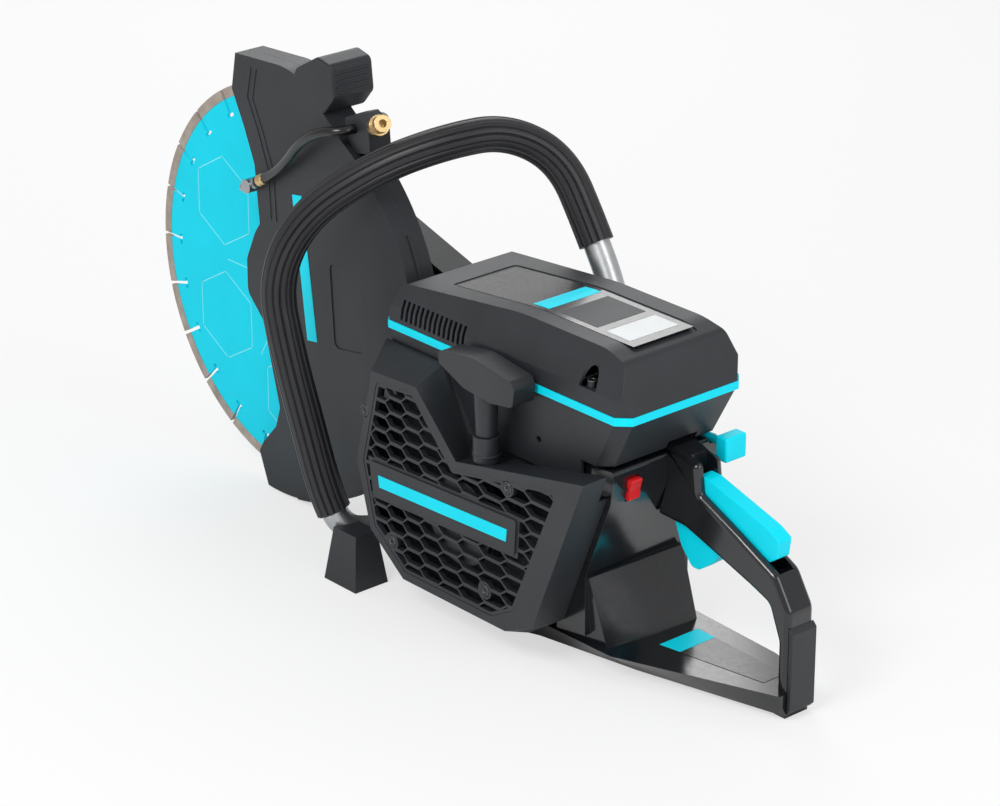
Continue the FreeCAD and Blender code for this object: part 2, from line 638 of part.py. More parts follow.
def flywheel():
    hub = ring_y(CRANK_X, CRANK_Z, FLYWHEEL_Y0, FLYWHEEL_Y1, 18.0, MAIN_JOURNAL_RADIUS)
    plate = ring_y(CRANK_X, CRANK_Z, FLYWHEEL_Y0, FLYWHEEL_Y0 + 3.0, FLYWHEEL_RADIUS, MAIN_JOURNAL_RADIUS)
    vanes = []
    for i in range(14):
        vane = box(CRANK_X + 17.0, CRANK_X + FLYWHEEL_RADIUS - 1.0, FLYWHEEL_Y0 + 3.0, FLYWHEEL_Y1 - 1.0, CRANK_Z - 1.2, CRANK_Z + 1.2)
        vane.rotate(V(CRANK_X, 0, CRANK_Z), V(0, 1, 0), 360.0 / 14 * i)
        vanes.append(vane)
    return fuse_all([hub, plate] + vanes)


CLUTCH_INNER_Y = -50.0
DRUM_RADIUS = 38.0


def clutch_shoes():
    """The clutch hub with its three centrifugal shoes, keyed to the crankshaft."""
    hub = ring_y(CRANK_X, CRANK_Z, -62.0, CLUTCH_INNER_Y, 14.0, MAIN_JOURNAL_RADIUS)
    pieces = [hub]
    for i in range(3):
        shoe = ring_y(CRANK_X, CRANK_Z, -62.0, CLUTCH_INNER_Y, DRUM_RADIUS - 4.0, 16.0)
        gaps = []
        for j in range(3):
            gap = box(CRANK_X + 10.0, CRANK_X + 60.0, -63.0, CLUTCH_INNER_Y + 1, CRANK_Z - 3.0, CRANK_Z + 3.0)
            gap.rotate(V(CRANK_X, 0, CRANK_Z), V(0, 1, 0), 120.0 * j)
            gaps.append(gap)
        pieces.append(shoe.cut(group(gaps)).Solids[i])
    arms = []
    for j in range(3):
        arm = box(CRANK_X + 13.0, CRANK_X + 17.0, -58.0, -54.0, CRANK_Z - 4.0, CRANK_Z + 4.0)
        arm.rotate(V(CRANK_X, 0, CRANK_Z), V(0, 1, 0), 120.0 * j + 60.0)
        arms.append(arm)
    return fuse_all(pieces + arms)


def clutch_drum():
    """The drum that the shoes grip, with the drive pulley on its outer side."""
    wheel = pulley(CRANK_X, CRANK_Z, BELT_Y, DRIVE_PULLEY_RADIUS, MAIN_JOURNAL_RADIUS + RUN_GAP)
    disc = ring_y(CRANK_X, CRANK_Z, -66.0, -63.0, DRUM_RADIUS, MAIN_JOURNAL_RADIUS + RUN_GAP)
    wall = ring_y(CRANK_X, CRANK_Z, -66.0, CLUTCH_INNER_Y, DRUM_RADIUS, DRUM_RADIUS - 2.5)
    return fuse_all([wheel, disc, wall])


def spark_plug():
    thread = rod_z(CRANK_X, 0, 213.0, CYLINDER_TOP_Z - 4.0, 5.0)
    boot = rod_z(CRANK_X, 0, CYLINDER_TOP_Z - 4.0, CYLINDER_TOP_Z + 10.0, 8.0)
    return thread.fuse(boot)


def muffler():
    body = box(-254.0, -204.0, -48.0, 36.0, 168.0, 214.0)
    body = body.makeFillet(8.0, body.Edges)
    port = Part.makeCylinder(14.0, 10.0, V(-261.0, 0, 190.0), V(1, 0, 0))
    outlet = box(-206.0, -198.0, -40.0, -18.0, 176.0, 190.0)
    return fuse_all([body, port, outlet])


def carburettor():
    body = box(-394.0, -366.0, -20.0, 20.0, 184.0, 212.0)
    boot = Part.makeCylinder(12.0, 16.8, V(-366.0, 0, 190.0), V(1, 0, 0))
    horn = Part.makeCylinder(14.0, 8.0, V(-394.0, 0, 198.0), V(-1, 0, 0))
    air_way = Part.makeCylinder(8.0, 60.0, V(-410.0, 0, 196.0), V(1, 0, 0))
    return fuse_all([body, boot, horn]).cut(air_way)


def air_filter():
    outer = box(-446.0, -404.0, -50.0, 34.0, 190.0, 216.0)
    return outer.makeFillet(6.0, outer.Edges)


# ---------------------------------------------------------------- top cover and shroud
def body_outline(front, rear, half, corner):
    return [(front, half - corner / 2), (front - corner / 2, half), (rear + corner, half), (rear, half - corner),
            (rear, -half + corner), (rear + corner, -half), (front - corner / 2, -half), (front, -half + corner / 2)]


def cover_block(inset, z_low):
    """The crowned block of the top cover, taken in by a wall thickness."""
    front = COVER_FRONT_X - inset
    rear = COVER_REAR_X + inset
    half = COVER_HALF_WIDTH - inset
    top_half = COVER_TOP_HALF_WIDTH - inset
    side = [(front, z_low), (front - 13.0, 258.0 - inset), (-345.0, 271.5 - inset), (-440.0, 271.5 - inset),
            (rear + 12.0, 266.0 - inset), (rear, z_low)]
    long_block = prism_y(side, -half, half, [0, 8, 200, 60, 8, 0])
    across = [(-half, z_low), (-half + 2.0, 240.0), (-top_half, 280.0), (top_half, 280.0), (half - 2.0, 240.0), (half, z_low)]
    section = prism_x(across, rear - 1, front + 1, [0, 10, 0, 0, 10, 0])
    plan = prism_z(body_outline(front, rear, half, COVER_CORNER), z_low, 290.0)
    return long_block.common(section).common(plan)


COVER_LOW_Z = STRIPE_LOW_Z + STRIPE_HEIGHT
VENT_COUNT = 14


def top_cover():
    shell = cover_block(0.0, COVER_LOW_Z).cut(cover_block(COVER_WALL, COVER_LOW_Z - 1))
    label = prism_z([(-246.0, -32.0), (-454.0, -32.0), (-454.0, 34.0), (-246.0, 34.0)], 250.0, 290.0, 4.0)
    skin = cover_block(0.8, COVER_LOW_Z)
    recess = label.cut(skin)
    vents = []
    for side in (-1, 1):
        for i in range(VENT_COUNT):
            x = -219.0 - 5.6 * i
            vents.append(box(x - 1.5, x + 1.5, side * 60.0 - 9.0, side * 60.0 + 9.0, 231.0, 247.0))
    notches = [rod_z(-432.0, side * 62.0, 240.0, 290.0, 9.0) for side in (-1, 1)]
    seats = [rod_z(-432.0, side * 53.0, COVER_LOW_Z, 240.0, 7.0) for side in (-1, 1)]
    open_shell = shell.cut(recess).cut(group(vents)).cut(group(notches))
    return open_shell.fuse(group(seats).common(cover_block(0.0, COVER_LOW_Z))).removeSplitter()


def cover_screws():
    return group([rod_z(-432.0, side * 56.0, 240.0, 246.0, 4.0).cut(rod_z(-432.0, side * 56.0, 243.0, 247.0, 1.8))
                  for side in (-1, 1)])


def ring_band(z0, z1, inset, wall):
    front = COVER_FRONT_X - inset
    rear = COVER_REAR_X + inset
    half = COVER_HALF_WIDTH - inset
    outer = prism_z(body_outline(front, rear, half, COVER_CORNER), z0, z1)
    inner = prism_z(body_outline(front - wall, rear + wall, half - wall, COVER_CORNER), z0 - 1, z1 + 1)
    return outer.cut(inner)


def cover_stripe():
    return ring_band(STRIPE_LOW_Z, COVER_LOW_Z, -0.8, 3.3)


def shroud_block(inset):
    """The shroud's outer shape, taken in by a wall thickness."""
    half = COVER_HALF_WIDTH - 1.0 - inset
    top = [V(x, y, STRIPE_LOW_Z) for x, y in
           body_outline(COVER_FRONT_X - 1 - inset, COVER_REAR_X + 1 + inset, half, COVER_CORNER)]
    low = [V(x, y, SHROUD_LOW_Z - SHROUD_SKIRT) for x, y in
           body_outline(COVER_FRONT_X - 3 - inset, SHROUD_LOW_REAR_X + inset, half - 3.0, COVER_CORNER)]
    return ruled_solid(low, top)


def engine_shroud():
    """The housing below the stripe, drawn in towards its lower edge."""
    z0 = SHROUD_LOW_Z - SHROUD_SKIRT
    shell = shroud_block(0.0).cut(shroud_block(SHROUD_WALL))
    rear_cut = box(-480.0, -425.0, -70.0, 70.0, z0 - 1, SHROUD_LOW_Z)
    hole = rod_y(-378.0, 181.0, 50.0, 70.0, 2.6)
    front_window = box(-210.0, -195.0, -44.0, 44.0, 170.0, 214.0)
    neck_cut = box(-480.0, -415.0, GRIP_RIGHT_Y - 1, GRIP_LEFT_Y + 1, z0 - 1, 186.0)
    belt_cut = belt_envelope(FACE_GAP).translated(BODY_PLACE * -1)
    return shell.cut(rear_cut).cut(hole).cut(front_window).cut(neck_cut).cut(belt_cut)


# ---------------------------------------------------------------- starter
OUTER_FACE = [(-216.0, 195.0), (-196.0, 113.0), (-212.0, 57.0), (-252.0, 27.0), (-374.0, 27.0), (-406.0, 42.0),
              (-462.0, 180.0), (-317.0, 151.0), (-270.0, 198.0)]
SHOULDER = [(-203.0, 211.0), (-186.0, 113.0), (-204.0, 50.0), (-250.0, 18.0), (-374.0, 17.0), (-402.0, 36.0),
            (-458.0, 178.0), (-308.0, 144.0), (-272.0, 211.0)]
WINDOW = [(-222.0, 188.0), (-204.0, 115.0), (-217.0, 62.0), (-254.0, 34.0), (-358.0, 34.0), (-384.0, 48.0),
          (-436.0, 166.0), (-313.0, 143.0), (-266.0, 192.0)]


def shrink(outline, amount):
    """Move each side of an outline inwards."""
    count = len(outline)
    area = sum(outline[i][0] * outline[(i + 1) % count][1] - outline[(i + 1) % count][0] * outline[i][1]
               for i in range(count))
    turn = 1.0 if area > 0 else -1.0
    result = []
    for i in range(count):
        ax, az = outline[i - 1]
        bx, bz = outline[i]
        cx, cz = outline[(i + 1) % count]
        first = math.hypot(bx - ax, bz - az)
        second = math.hypot(cx - bx, cz - bz)
        n1 = (-(bz - az) / first * turn, (bx - ax) / first * turn)
        n2 = (-(cz - bz) / second * turn, (cx - bx) / second * turn)
        scale = amount / (1.0 + n1[0] * n2[0] + n1[1] * n2[1])
        result.append((bx + (n1[0] + n2[0]) * scale, bz + (n1[1] + n2[1]) * scale))
    return result


def starter_cover():
    """The fan housing on the left, dished outwards, with a window for the grille."""
    face = [V(x, STARTER_OUTER_Y, z) for x, z in OUTER_FACE]
    shoulder = [V(x, STARTER_SHOULDER_Y, z) for x, z in SHOULDER]
    face_in = [V(x, STARTER_OUTER_Y - STARTER_WALL, z) for x, z in shrink(OUTER_FACE, STARTER_WALL)]
    shoulder_in = [V(x, STARTER_SHOULDER_Y, z) for x, z in shrink(SHOULDER, STARTER_WALL)]
    dish = ruled_solid(shoulder, face).cut(ruled_solid(shoulder_in, face_in))
    skirt = prism_y(SHOULDER, STARTER_INNER_Y, STARTER_SHOULDER_Y)
    low_skirt = prism_y(SHOULDER, STARTER_SKIRT_Y, STARTER_INNER_Y).common(box(-500.0, 0, 0, 100.0, 0, SHROUD_LOW_Z - 26.0))
    hollow = prism_y(shrink(SHOULDER, STARTER_WALL), STARTER_SKIRT_Y - 1, STARTER_SHOULDER_Y + 1)
    skirt = skirt.fuse(low_skirt).cut(hollow)
    window = prism_y(WINDOW, STARTER_OUTER_Y - STARTER_WALL - 2, STARTER_OUTER_Y + 1, 6.0)
    rope_hole = rod_z(GUIDE_X, GUIDE_Y, 140.0, 170.0, ROPE_RADIUS + 0.6)
    return dish.fuse(skirt).cut(window).cut(rope_hole).cut(screw_recesses()).removeSplitter()


NAMEPLATE = [(-213.0, 118.0), (-388.0, 126.0), (-386.0, 96.0), (-218.0, 89.0)]
BOSSES = [(-206.0, 158.0), (-376.0, 149.0), (-350.0, 53.0), (-238.0, 55.0)]
BOSS_RADIUS = 7.5


SCREW_SEAT_Y = STARTER_OUTER_Y - 1.6
COLUMN_FIRST_STEP = 17.0
COLUMN_GROWTH = 1.3
COLUMN_COUNT = 11
ROW_STEP = 13.0


def screw_recesses():
    return group([rod_y(x, z, SCREW_SEAT_Y, STARTER_OUTER_Y + 2.0, 5.4) for x, z in BOSSES])


def cell(x, z, width, y0, y1):
    """One stretched honeycomb cell with points to the front and rear."""
    tall = (ROW_STEP - CELL_WALL) / 2
    tip = width * 0.62
    flat = width * 0.36
    corners = [(x - tip, z), (x - flat, z + tall), (x + flat, z + tall), (x + tip, z), (x + flat, z - tall), (x - flat, z - tall)]
    return prism_y(corners, y0, y1)


def honeycomb(y0, y1):
    """Columns of cells that grow wider to the rear, every second one half a row lower."""
    cells = []
    x = -208.0
    step = COLUMN_FIRST_STEP
    for column in range(COLUMN_COUNT):
        for row in range(14):
            z = 30.0 + ROW_STEP * (row + 0.5 * (column % 2))
            cells.append(cell(x, z, step, y0, y1))
        x -= step + COLUMN_GROWTH / 2
        step += COLUMN_GROWTH
    return group(cells)


GRILLE_DEPTH = 5.0
GRILLE_RECESS = 0.4


def starter_grille():
    """The honeycomb air grille with a blank plaque."""
    y0 = STARTER_OUTER_Y - GRILLE_DEPTH
    y1 = STARTER_OUTER_Y - GRILLE_RECESS
    plate = prism_y(shrink(WINDOW, 0.1), y0, y1, 6.0)
    field = prism_y(shrink(WINDOW, 3.0), y0 - 1, y1 + 1, 4.0)
    solid_places = [prism_y(shrink(NAMEPLATE, -2.5), y0 - 2, y1 + 2)]
    solid_places += [rod_y(x, z, y0 - 2, y1 + 2, BOSS_RADIUS) for x, z in BOSSES]
    holes = honeycomb(y0 - 1, y1 + 1).common(field.cut(group(solid_places)))
    plaque = prism_y(NAMEPLATE, y1, STARTER_OUTER_Y + 1.2, 3.0)
    return plate.cut(holes).fuse(plaque).cut(screw_recesses())


def starter_screws():
    screws = []
    for x, z in BOSSES:
        head = rod_y(x, z, SCREW_SEAT_Y, STARTER_OUTER_Y, 4.8)
        screws.append(head.cut(rod_y(x, z, STARTER_OUTER_Y - 1.0, STARTER_OUTER_Y + 1.0, 2.2)))
    return group(screws)


DRUM_Y1 = STARTER_OUTER_Y + BODY_PLACE.y - 10.5
DRUM_Y0 = DRUM_Y1 - 12.0
GRILLE_BACK_Y = STARTER_OUTER_Y + BODY_PLACE.y - GRILLE_DEPTH


def starter_spider():
    """The bridge behind the grille with the axle post of the rope drum."""
    post = rod_y(CRANK_X, CRANK_Z, DRUM_Y0 - 0.6, GRILLE_BACK_Y, 6.0)
    plate = rod_y(CRANK_X, CRANK_Z, DRUM_Y1 + FACE_GAP + 3.6, GRILLE_BACK_Y, 36.0)
    return post.fuse(plate)


def starter_pulley():
    body = ring_y(CRANK_X, CRANK_Z, DRUM_Y0, DRUM_Y1, 37.0, 6.0 + RUN_GAP)
    groove = ring_y(CRANK_X, CRANK_Z, DRUM_Y0 + 3.0, DRUM_Y1 - 3.0, 38.0, ROPE_DRUM_RADIUS - 6.0)
    return body.cut(groove)


def rope_coil():
    return ring_y(CRANK_X, CRANK_Z, DRUM_Y0 + 3.2, DRUM_Y1 - 3.2, ROPE_DRUM_RADIUS, ROPE_DRUM_RADIUS - 5.8)


def recoil_spring():
    """The flat spiral spring between drum and bridge, as its turns' outer shape."""
    y0 = DRUM_Y1 + FACE_GAP / 2
    return ring_y(CRANK_X, CRANK_Z, y0, y0 + 3.2, 26.0, 8.0)


GUIDE_BASE_Z = 155.8


def rope_guide():
    sleeve = rod_z(GUIDE_X, GUIDE_Y, GUIDE_BASE_Z, 177.0, 10.5)
    collar = rod_z(GUIDE_X, GUIDE_Y, GUIDE_BASE_Z + 5.0, GUIDE_BASE_Z + 6.5, 11.2)
    hole = rod_z(GUIDE_X, GUIDE_Y, GUIDE_BASE_Z - 1, 178.0, ROPE_RADIUS + 0.6)
    return sleeve.fuse(collar).cut(hole)


GRIP_LOW_Z = 177.3


def starter_grip():
    """The T-handle of the starter rope."""
    stem = Part.makeCone(8.2, 9.8, 41.0, V(GUIDE_X, GUIDE_Y, GRIP_LOW_Z))
    bar_outline = [(GUIDE_X + 43.0, 226.0), (GUIDE_X + 44.0, 236.0), (GUIDE_X + 4.0, 242.0), (GUIDE_X - 40.0, 236.0),
                   (GUIDE_X - 44.0, 230.0), (GUIDE_X - 42.0, 215.0), (GUIDE_X - 16.0, 211.0), (GUIDE_X + 14.0, 214.0)]
    bar = prism_y(bar_outline, GUIDE_Y - 11.0, GUIDE_Y + 11.0, [3, 4, 30, 4, 4, 5, 10, 10])
    hole = rod_z(GUIDE_X, GUIDE_Y, GRIP_LOW_Z - 1, 205.4, ROPE_RADIUS + RUN_GAP)
    return stem.fuse(bar).removeSplitter().cut(hole)


def starter_rope():
    """The straight stretch of rope from the housing through the guide into the grip."""
    return rod_z(GUIDE_X, GUIDE_Y, 152.0, 205.0, ROPE_RADIUS)


# ---------------------------------------------------------------- tank and rear handle
BASE_TOP_Z = 22.0
CHOKE_Y = -48.0
CHOKE_Z = 176.0
SWITCH_X = -453.0
SWITCH_Y = 34.0
SWITCH_Z = 158.0
SWITCH_PIN_RADIUS = 1.2
CAP_X = -405.0
CAP_Z = 70.0
NECK_RADIUS = 10.0


def fuel_tank():
    """The rear moulding: tank, switch panel, stepped lower box and base plate."""
    side = [(-384.0, 30.0), (-384.0, 172.0), (-455.0, 177.0), (-452.0, 150.0), (-425.0, 80.0), (-425.0, 30.0)]
    upper = prism_y(side, -54.0, 55.0, [0, 4, 3, 0, 0, 0])
    ridge = [V(-427.0, 53.0, 79.0), V(-429.0, 5.0, 79.0), V(-430.0, -43.0, 79.0), V(-390.0, -43.0, 79.0), V(-390.0, 53.0, 79.0)]
    feet = [V(-442.0, 46.0, 18.0), V(-448.0, -1.0, 18.0), V(-450.0, -42.0, 18.0), V(-390.0, -42.0, 18.0), V(-390.0, 52.0, 18.0)]
    lower = ruled_solid(feet, ridge)
    plate_low = [V(-342.0, 54.0, 4.0), V(-364.0, 46.0, 4.0), V(-458.0, 29.0, 4.0), V(-584.0, -2.0, 4.0), V(-584.0, -31.0, 4.0),
                 V(-531.0, -42.0, 4.0), V(-438.0, -48.0, 4.0), V(-342.0, -48.0, 4.0)]
    plate_top = [V(-342.0, 54.6, BASE_TOP_Z), V(-364.0, 54.6, BASE_TOP_Z), V(-452.0, 53.0, BASE_TOP_Z), V(-584.0, 3.0, BASE_TOP_Z),
                 V(-584.0, -34.0, BASE_TOP_Z), V(-531.0, -46.0, BASE_TOP_Z), V(-438.0, -51.0, BASE_TOP_Z),
                 V(-342.0, -51.0, BASE_TOP_Z)]
    plate = ruled_solid(plate_low, plate_top)
    choke_way = Part.makeCylinder(4.4, 90.0, V(-470.0, CHOKE_Y, CHOKE_Z), V(1, 0, 0))
    pocket = box(SWITCH_X - 9.0, SWITCH_X + 6.0, SWITCH_Y - 6.0, SWITCH_Y + 6.0, SWITCH_Z - 10.5, SWITCH_Z + 10.5)
    pin = rod_y(SWITCH_X, SWITCH_Z, SWITCH_Y - 7.0, SWITCH_Y + 7.0, SWITCH_PIN_RADIUS)
    neck = rod_y(CAP_X, CAP_Z, -62.0, -50.0, NECK_RADIUS)
    solid = fuse_all([upper, lower, plate, neck] + skids())
    return solid.cut(choke_way).cut(pocket).fuse(pin)


def fuel_cap():
    """The cap that turns on the tank's neck."""
    cap = rod_y(CAP_X, CAP_Z, -66.0, -54.0 - FACE_GAP, 17.0)
    bore = rod_y(CAP_X, CAP_Z, -62.0 - FACE_GAP, -50.0, NECK_RADIUS + RUN_GAP)
    grips = [rod_y(CAP_X + 17.0 * math.cos(math.radians(30 * i)), CAP_Z + 17.0 * math.sin(math.radians(30 * i)),
                   -65.0, -55.0, 1.6) for i in range(12)]
    return cap.cut(bore).cut(group(grips))


def is_grip_edge(edge):
    """True along the loop's two sides, away from the tank and the base plate."""
    bound = edge.BoundBox
    return bound.YMax - bound.YMin < 1e-3 and bound.XMax < -455.5 and bound.ZMin > BASE_TOP_Z + 1.0


def rear_handle():
    """The closed D-handle behind the tank."""
    outer = [(-425.5, 184.0), (-452.0, 183.0), (-484.0, 175.0), (-487.0, 152.0), (-529.0, 133.0), (-568.0, 114.0), (-584.0, 88.0),
             (-584.0, BASE_TOP_Z), (-573.0, BASE_TOP_Z), (-573.0, 62.0), (-562.0, 89.0), (-541.0, 97.0), (-502.0, 110.0),
             (-470.0, 120.0), (-443.5, 121.0), (-452.0, 150.0), (-455.0, 177.0), (-425.5, 175.2)]
    loop = prism_y(outer, GRIP_RIGHT_Y, GRIP_LEFT_Y, [2, 6, 4, 4, 30, 16, 14, 0, 0, 14, 10, 20, 30, 20, 0, 0, 0, 0])
    return loop.makeFillet(GRIP_ROUNDING, [edge for edge in loop.Edges if is_grip_edge(edge)])


def lever_channel():
    """The slot in the grip's top that the lockout lever sinks into."""
    outline = [(-471.5, 190.0), (-471.5, 142.0), (-500.0, 131.0), (-566.0, 101.0), (-570.0, 135.0), (-500.0, 190.0)]
    return prism_y(outline, GRIP_MID_Y - 7.6, GRIP_MID_Y + 7.6)


def trigger_channel():
    """The slot in the grip's underside that the throttle trigger sinks into."""
    outline = [(-450.0, 110.0), (-450.0, 140.0), (-478.0, 140.0), (-512.0, 128.0), (-512.0, 95.0), (-470.0, 95.0)]
    return prism_y(outline, GRIP_MID_Y - 7.6, GRIP_MID_Y + 7.6)


LEVER_PIVOT = (-479.5, 157.0)
TRIGGER_PIVOT = (-459.0, 127.0)
PIN_RADIUS = 2.5


def rear_handle_with_channels():
    body = rear_handle().cut(lever_channel()).cut(trigger_channel())
    pins = [rod_y(LEVER_PIVOT[0], LEVER_PIVOT[1], GRIP_RIGHT_Y + 2, GRIP_LEFT_Y - 2, PIN_RADIUS),
            rod_y(TRIGGER_PIVOT[0], TRIGGER_PIVOT[1], GRIP_RIGHT_Y + 2, GRIP_LEFT_Y - 2, PIN_RADIUS)]
    return fuse_all([body] + pins)


def lockout_lever():
    outline = [(-474.0, 161.0), (-475.0, 150.0), (-498.0, 144.0), (-556.0, 119.0), (-563.0, 124.0), (-565.0, 139.0),
               (-554.0, 145.0), (-490.0, 164.0), (-480.0, 164.5)]
    blade = prism_y(outline, GRIP_MID_Y - 7.0, GRIP_MID_Y + 7.0, [2, 2, 20, 3, 3, 3, 20, 6, 3])
    return blade.cut(rod_y(LEVER_PIVOT[0], LEVER_PIVOT[1], -40.0, 10.0, PIN_RADIUS + RUN_GAP))


def throttle_trigger():
    outline = [(-454.5, 131.0), (-454.5, 119.0), (-462.0, 100.0), (-474.0, 86.0), (-482.0, 86.0), (-498.0, 98.0), (-504.0, 108.0),
               (-500.0, 114.0), (-474.0, 124.0), (-466.0, 132.0)]
    blade = prism_y(outline, GRIP_MID_Y - 7.0, GRIP_MID_Y + 7.0, [2, 6, 12, 5, 5, 10, 3, 3, 6, 2])
    return blade.cut(rod_y(TRIGGER_PIVOT[0], TRIGGER_PIVOT[1], -40.0, 10.0, PIN_RADIUS + RUN_GAP))


def rear_pad():
    """The matt wear plate on the back of the D-handle."""
    outline = [(-584.0, 76.0), (-588.0, 72.0), (-588.0, 8.0), (-584.0, 4.0)]
    return prism_y(outline, GRIP_RIGHT_Y + 1.0, GRIP_LEFT_Y - 1.0)


def skids():
    """Three ground lugs under the grip."""
    return [box(x - 6.0, x + 6.0, GRIP_RIGHT_Y + 2, GRIP_LEFT_Y - 2, 0.0, 4.0) for x in (-576.0, -556.0, -536.0)]


def stop_switch():
    """The rocker, turning on a pin across its pocket."""
    outline = [(SWITCH_X + 3.0, SWITCH_Z + 8.5), (SWITCH_X - 6.0, SWITCH_Z + 8.5), (SWITCH_X - 3.5, SWITCH_Z),
               (SWITCH_X - 3.0, SWITCH_Z - 8.5), (SWITCH_X + 3.0, SWITCH_Z - 8.5)]
    rocker = prism_y(outline, SWITCH_Y - 5.5, SWITCH_Y + 5.5, [1, 1.5, 4, 1, 1])
    return rocker.cut(rod_y(SWITCH_X, SWITCH_Z, SWITCH_Y - 8.0, SWITCH_Y + 8.0, SWITCH_PIN_RADIUS + RUN_GAP))


def choke_knob():
    """A square knob on a flat stem."""
    square = box(-481.0, -469.0, CHOKE_Y - 11.0, CHOKE_Y + 11.0, CHOKE_Z - 10.0, CHOKE_Z + 10.0)
    square = square.makeFillet(1.8, square.Edges)
    stem = Part.makeCylinder(3.4, 49.0, V(-470.0, CHOKE_Y, CHOKE_Z), V(1, 0, 0))
    return square.fuse(stem)


# ---------------------------------------------------------------- front handle and feet
HANDLE_PATH = [V(-316, -84, 196), V(-300, -92, 232), V(-266, -94, 284), V(-236, -90, 334), V(-208, -56, 358), V(-188, -12, 354),
               V(-154, 32, 334), V(-110, 72, 292), V(-91, 90, 236), V(-110, 92, 178), V(-134, 92, 120), V(-153, 91, 70),
               V(-166, 84, 38), V(-176, 52, 32), V(-180, 12, 31), V(-180, -36, 31), V(-184, -96, 31)]
SLEEVE_RIGHT_Z = 258.0
SLEEVE_LEFT_Z = 47.0


def front_handle_tube():
    return swept_tube(HANDLE_PATH, HANDLE_TUBE_RADIUS, HANDLE_TUBE_RADIUS - 1.8)


def handle_sleeve():
    """The rubber sleeve over the handle's grip stretch."""
    full = swept_tube(HANDLE_PATH, HANDLE_SLEEVE_RADIUS, HANDLE_SLEEVE_BORE)
    right = box(-400.0, 0.0, -200.0, 0.0, SLEEVE_RIGHT_Z, 500.0)
    left = box(-400.0, 0.0, 0.0, 200.0, SLEEVE_LEFT_Z, 500.0)
    return full.common(right.fuse(left).removeSplitter())


def handle_bracket():
    """The two straps that tie the handle tube to the crankcase and to the shroud."""
    outline = [(-236.0, 72.0), (-236.0, 96.0), (-186.0, 44.0), (-168.0, 44.0), (-168.0, 24.0), (-192.0, 24.0)]
    lower = prism_y(outline, -16.0, 34.0)
    upper = box(-328.0, -306.0, -84.0, -58.0, 186.0, 206.0)
    tube = swept_rod(HANDLE_PATH, HANDLE_TUBE_RADIUS)
    return group([lower.cut(tube), upper.cut(shroud_block(0.0)).cut(tube)])


FOOT_X = -184.0
FOOT_Y = 86.0
FOOT_HEIGHT = 46.0


def front_foot(side):
    """A tapered block with a notch for the tube."""
    y = FOOT_Y * side
    x = FOOT_X
    low = [V(x - 21, y - 17, 0), V(x + 19, y - 17, 0), V(x + 19, y + 17, 0), V(x - 21, y + 17, 0)]
    high = [V(x - 15, y - 11, FOOT_HEIGHT), V(x + 13, y - 11, FOOT_HEIGHT), V(x + 13, y + 11, FOOT_HEIGHT),
            V(x - 15, y + 11, FOOT_HEIGHT)]
    return ruled_solid(low, high).cut(swept_rod(HANDLE_PATH, HANDLE_TUBE_RADIUS + 0.1))


def front_feet():
    return group([front_foot(side) for side in (-1, 1)])


BODY_NODES = {
    "top_cover": top_cover,
    "cover_screws": cover_screws,
    "cover_stripe": cover_stripe,
    "engine_shroud": engine_shroud,
    "starter_cover": starter_cover,
    "starter_grille": starter_grille,
    "starter_screws": starter_screws,
    "rope_guide": rope_guide,
    "starter_grip": starter_grip,
    "starter_rope": starter_rope,
    "fuel_tank": fuel_tank,
    "fuel_cap": fuel_cap,
    "rear_handle": rear_handle_with_channels,
    "lockout_lever": lockout_lever,
    "throttle_trigger": throttle_trigger,
    "rear_pad": rear_pad,
    "stop_switch": stop_switch,
    "choke_knob": choke_knob,
    "front_handle_tube": front_handle_tube,
    "handle_bracket": handle_bracket,
    "handle_sleeve": handle_sleeve,
    "front_feet": front_feet,
}

BLADE_NODES = {
    "blade_core": blade_core,
    "blade_segments": blade_segments,
    "outer_flange": outer_flange,
    "inner_flange": inner_flange,
    "blade_bolt": blade_bolt,
    "arbor_shaft": arbor_shaft,
    "arbor_bearings": arbor_bearings,
    "driven_pulley": driven_pulley,
    "cutting_arm": cutting_arm,
    "arm_bolts": arm_bolts,
    "guard_retainer": guard_retainer,
    "v_belt": v_belt,
    "belt_cover": belt_cover,
    "guard_left_shell": guard_left_shell,
    "guard_right_shell": guard_right_shell,
    "guard_grip": guard_grip,
    "water_bracket": water_bracket,
    "water_connector": water_connector,
    "hose_left": lambda: hose(LEFT_HOSE),
    "hose_right": lambda: hose(RIGHT_HOSE),
    "water_nozzles": water_nozzles,
    "crankcase": crankcase,
    "crank_bearings": crank_bearings,
    "cylinder": cylinder,
    "piston": piston,
    "connecting_rod": connecting_rod,
    "crankshaft": crankshaft,
    "flywheel": flywheel,
    "clutch_shoes": clutch_shoes,
    "clutch_drum": clutch_drum,
    "spark_plug": spark_plug,
    "muffler": muffler,
    "carburettor": carburettor,
    "air_filter": air_filter,
    "starter_spider": starter_spider,
    "starter_pulley": starter_pulley,
    "rope_coil": rope_coil,
    "recoil_spring": recoil_spring,
}


def build_all():
    shapes = {}
    for name, maker in BLADE_NODES.items():
        shapes[name] = maker()
    for name, maker in BODY_NODES.items():
        shapes[name] = maker().translated(BODY_PLACE)
    return shapes


def export_all(shapes):
    os.makedirs("parts", exist_ok=True)
    whole = FreeCAD.BoundBox()
    for shape in shapes.values():
        whole.add(shape.BoundBox)
    shift = V(-(whole.XMin + whole.XMax) / 2, -(whole.YMin + whole.YMax) / 2, -whole.ZMin)
    print("shift", shift.x, shift.y, shift.z)
    for name, shape in shapes.items():
        shape.translated(shift).exportStep("parts/" + name + ".step")


export_all(build_all())
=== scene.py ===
import json
import math

import bmesh
import bpy
from mathutils import Matrix, Vector


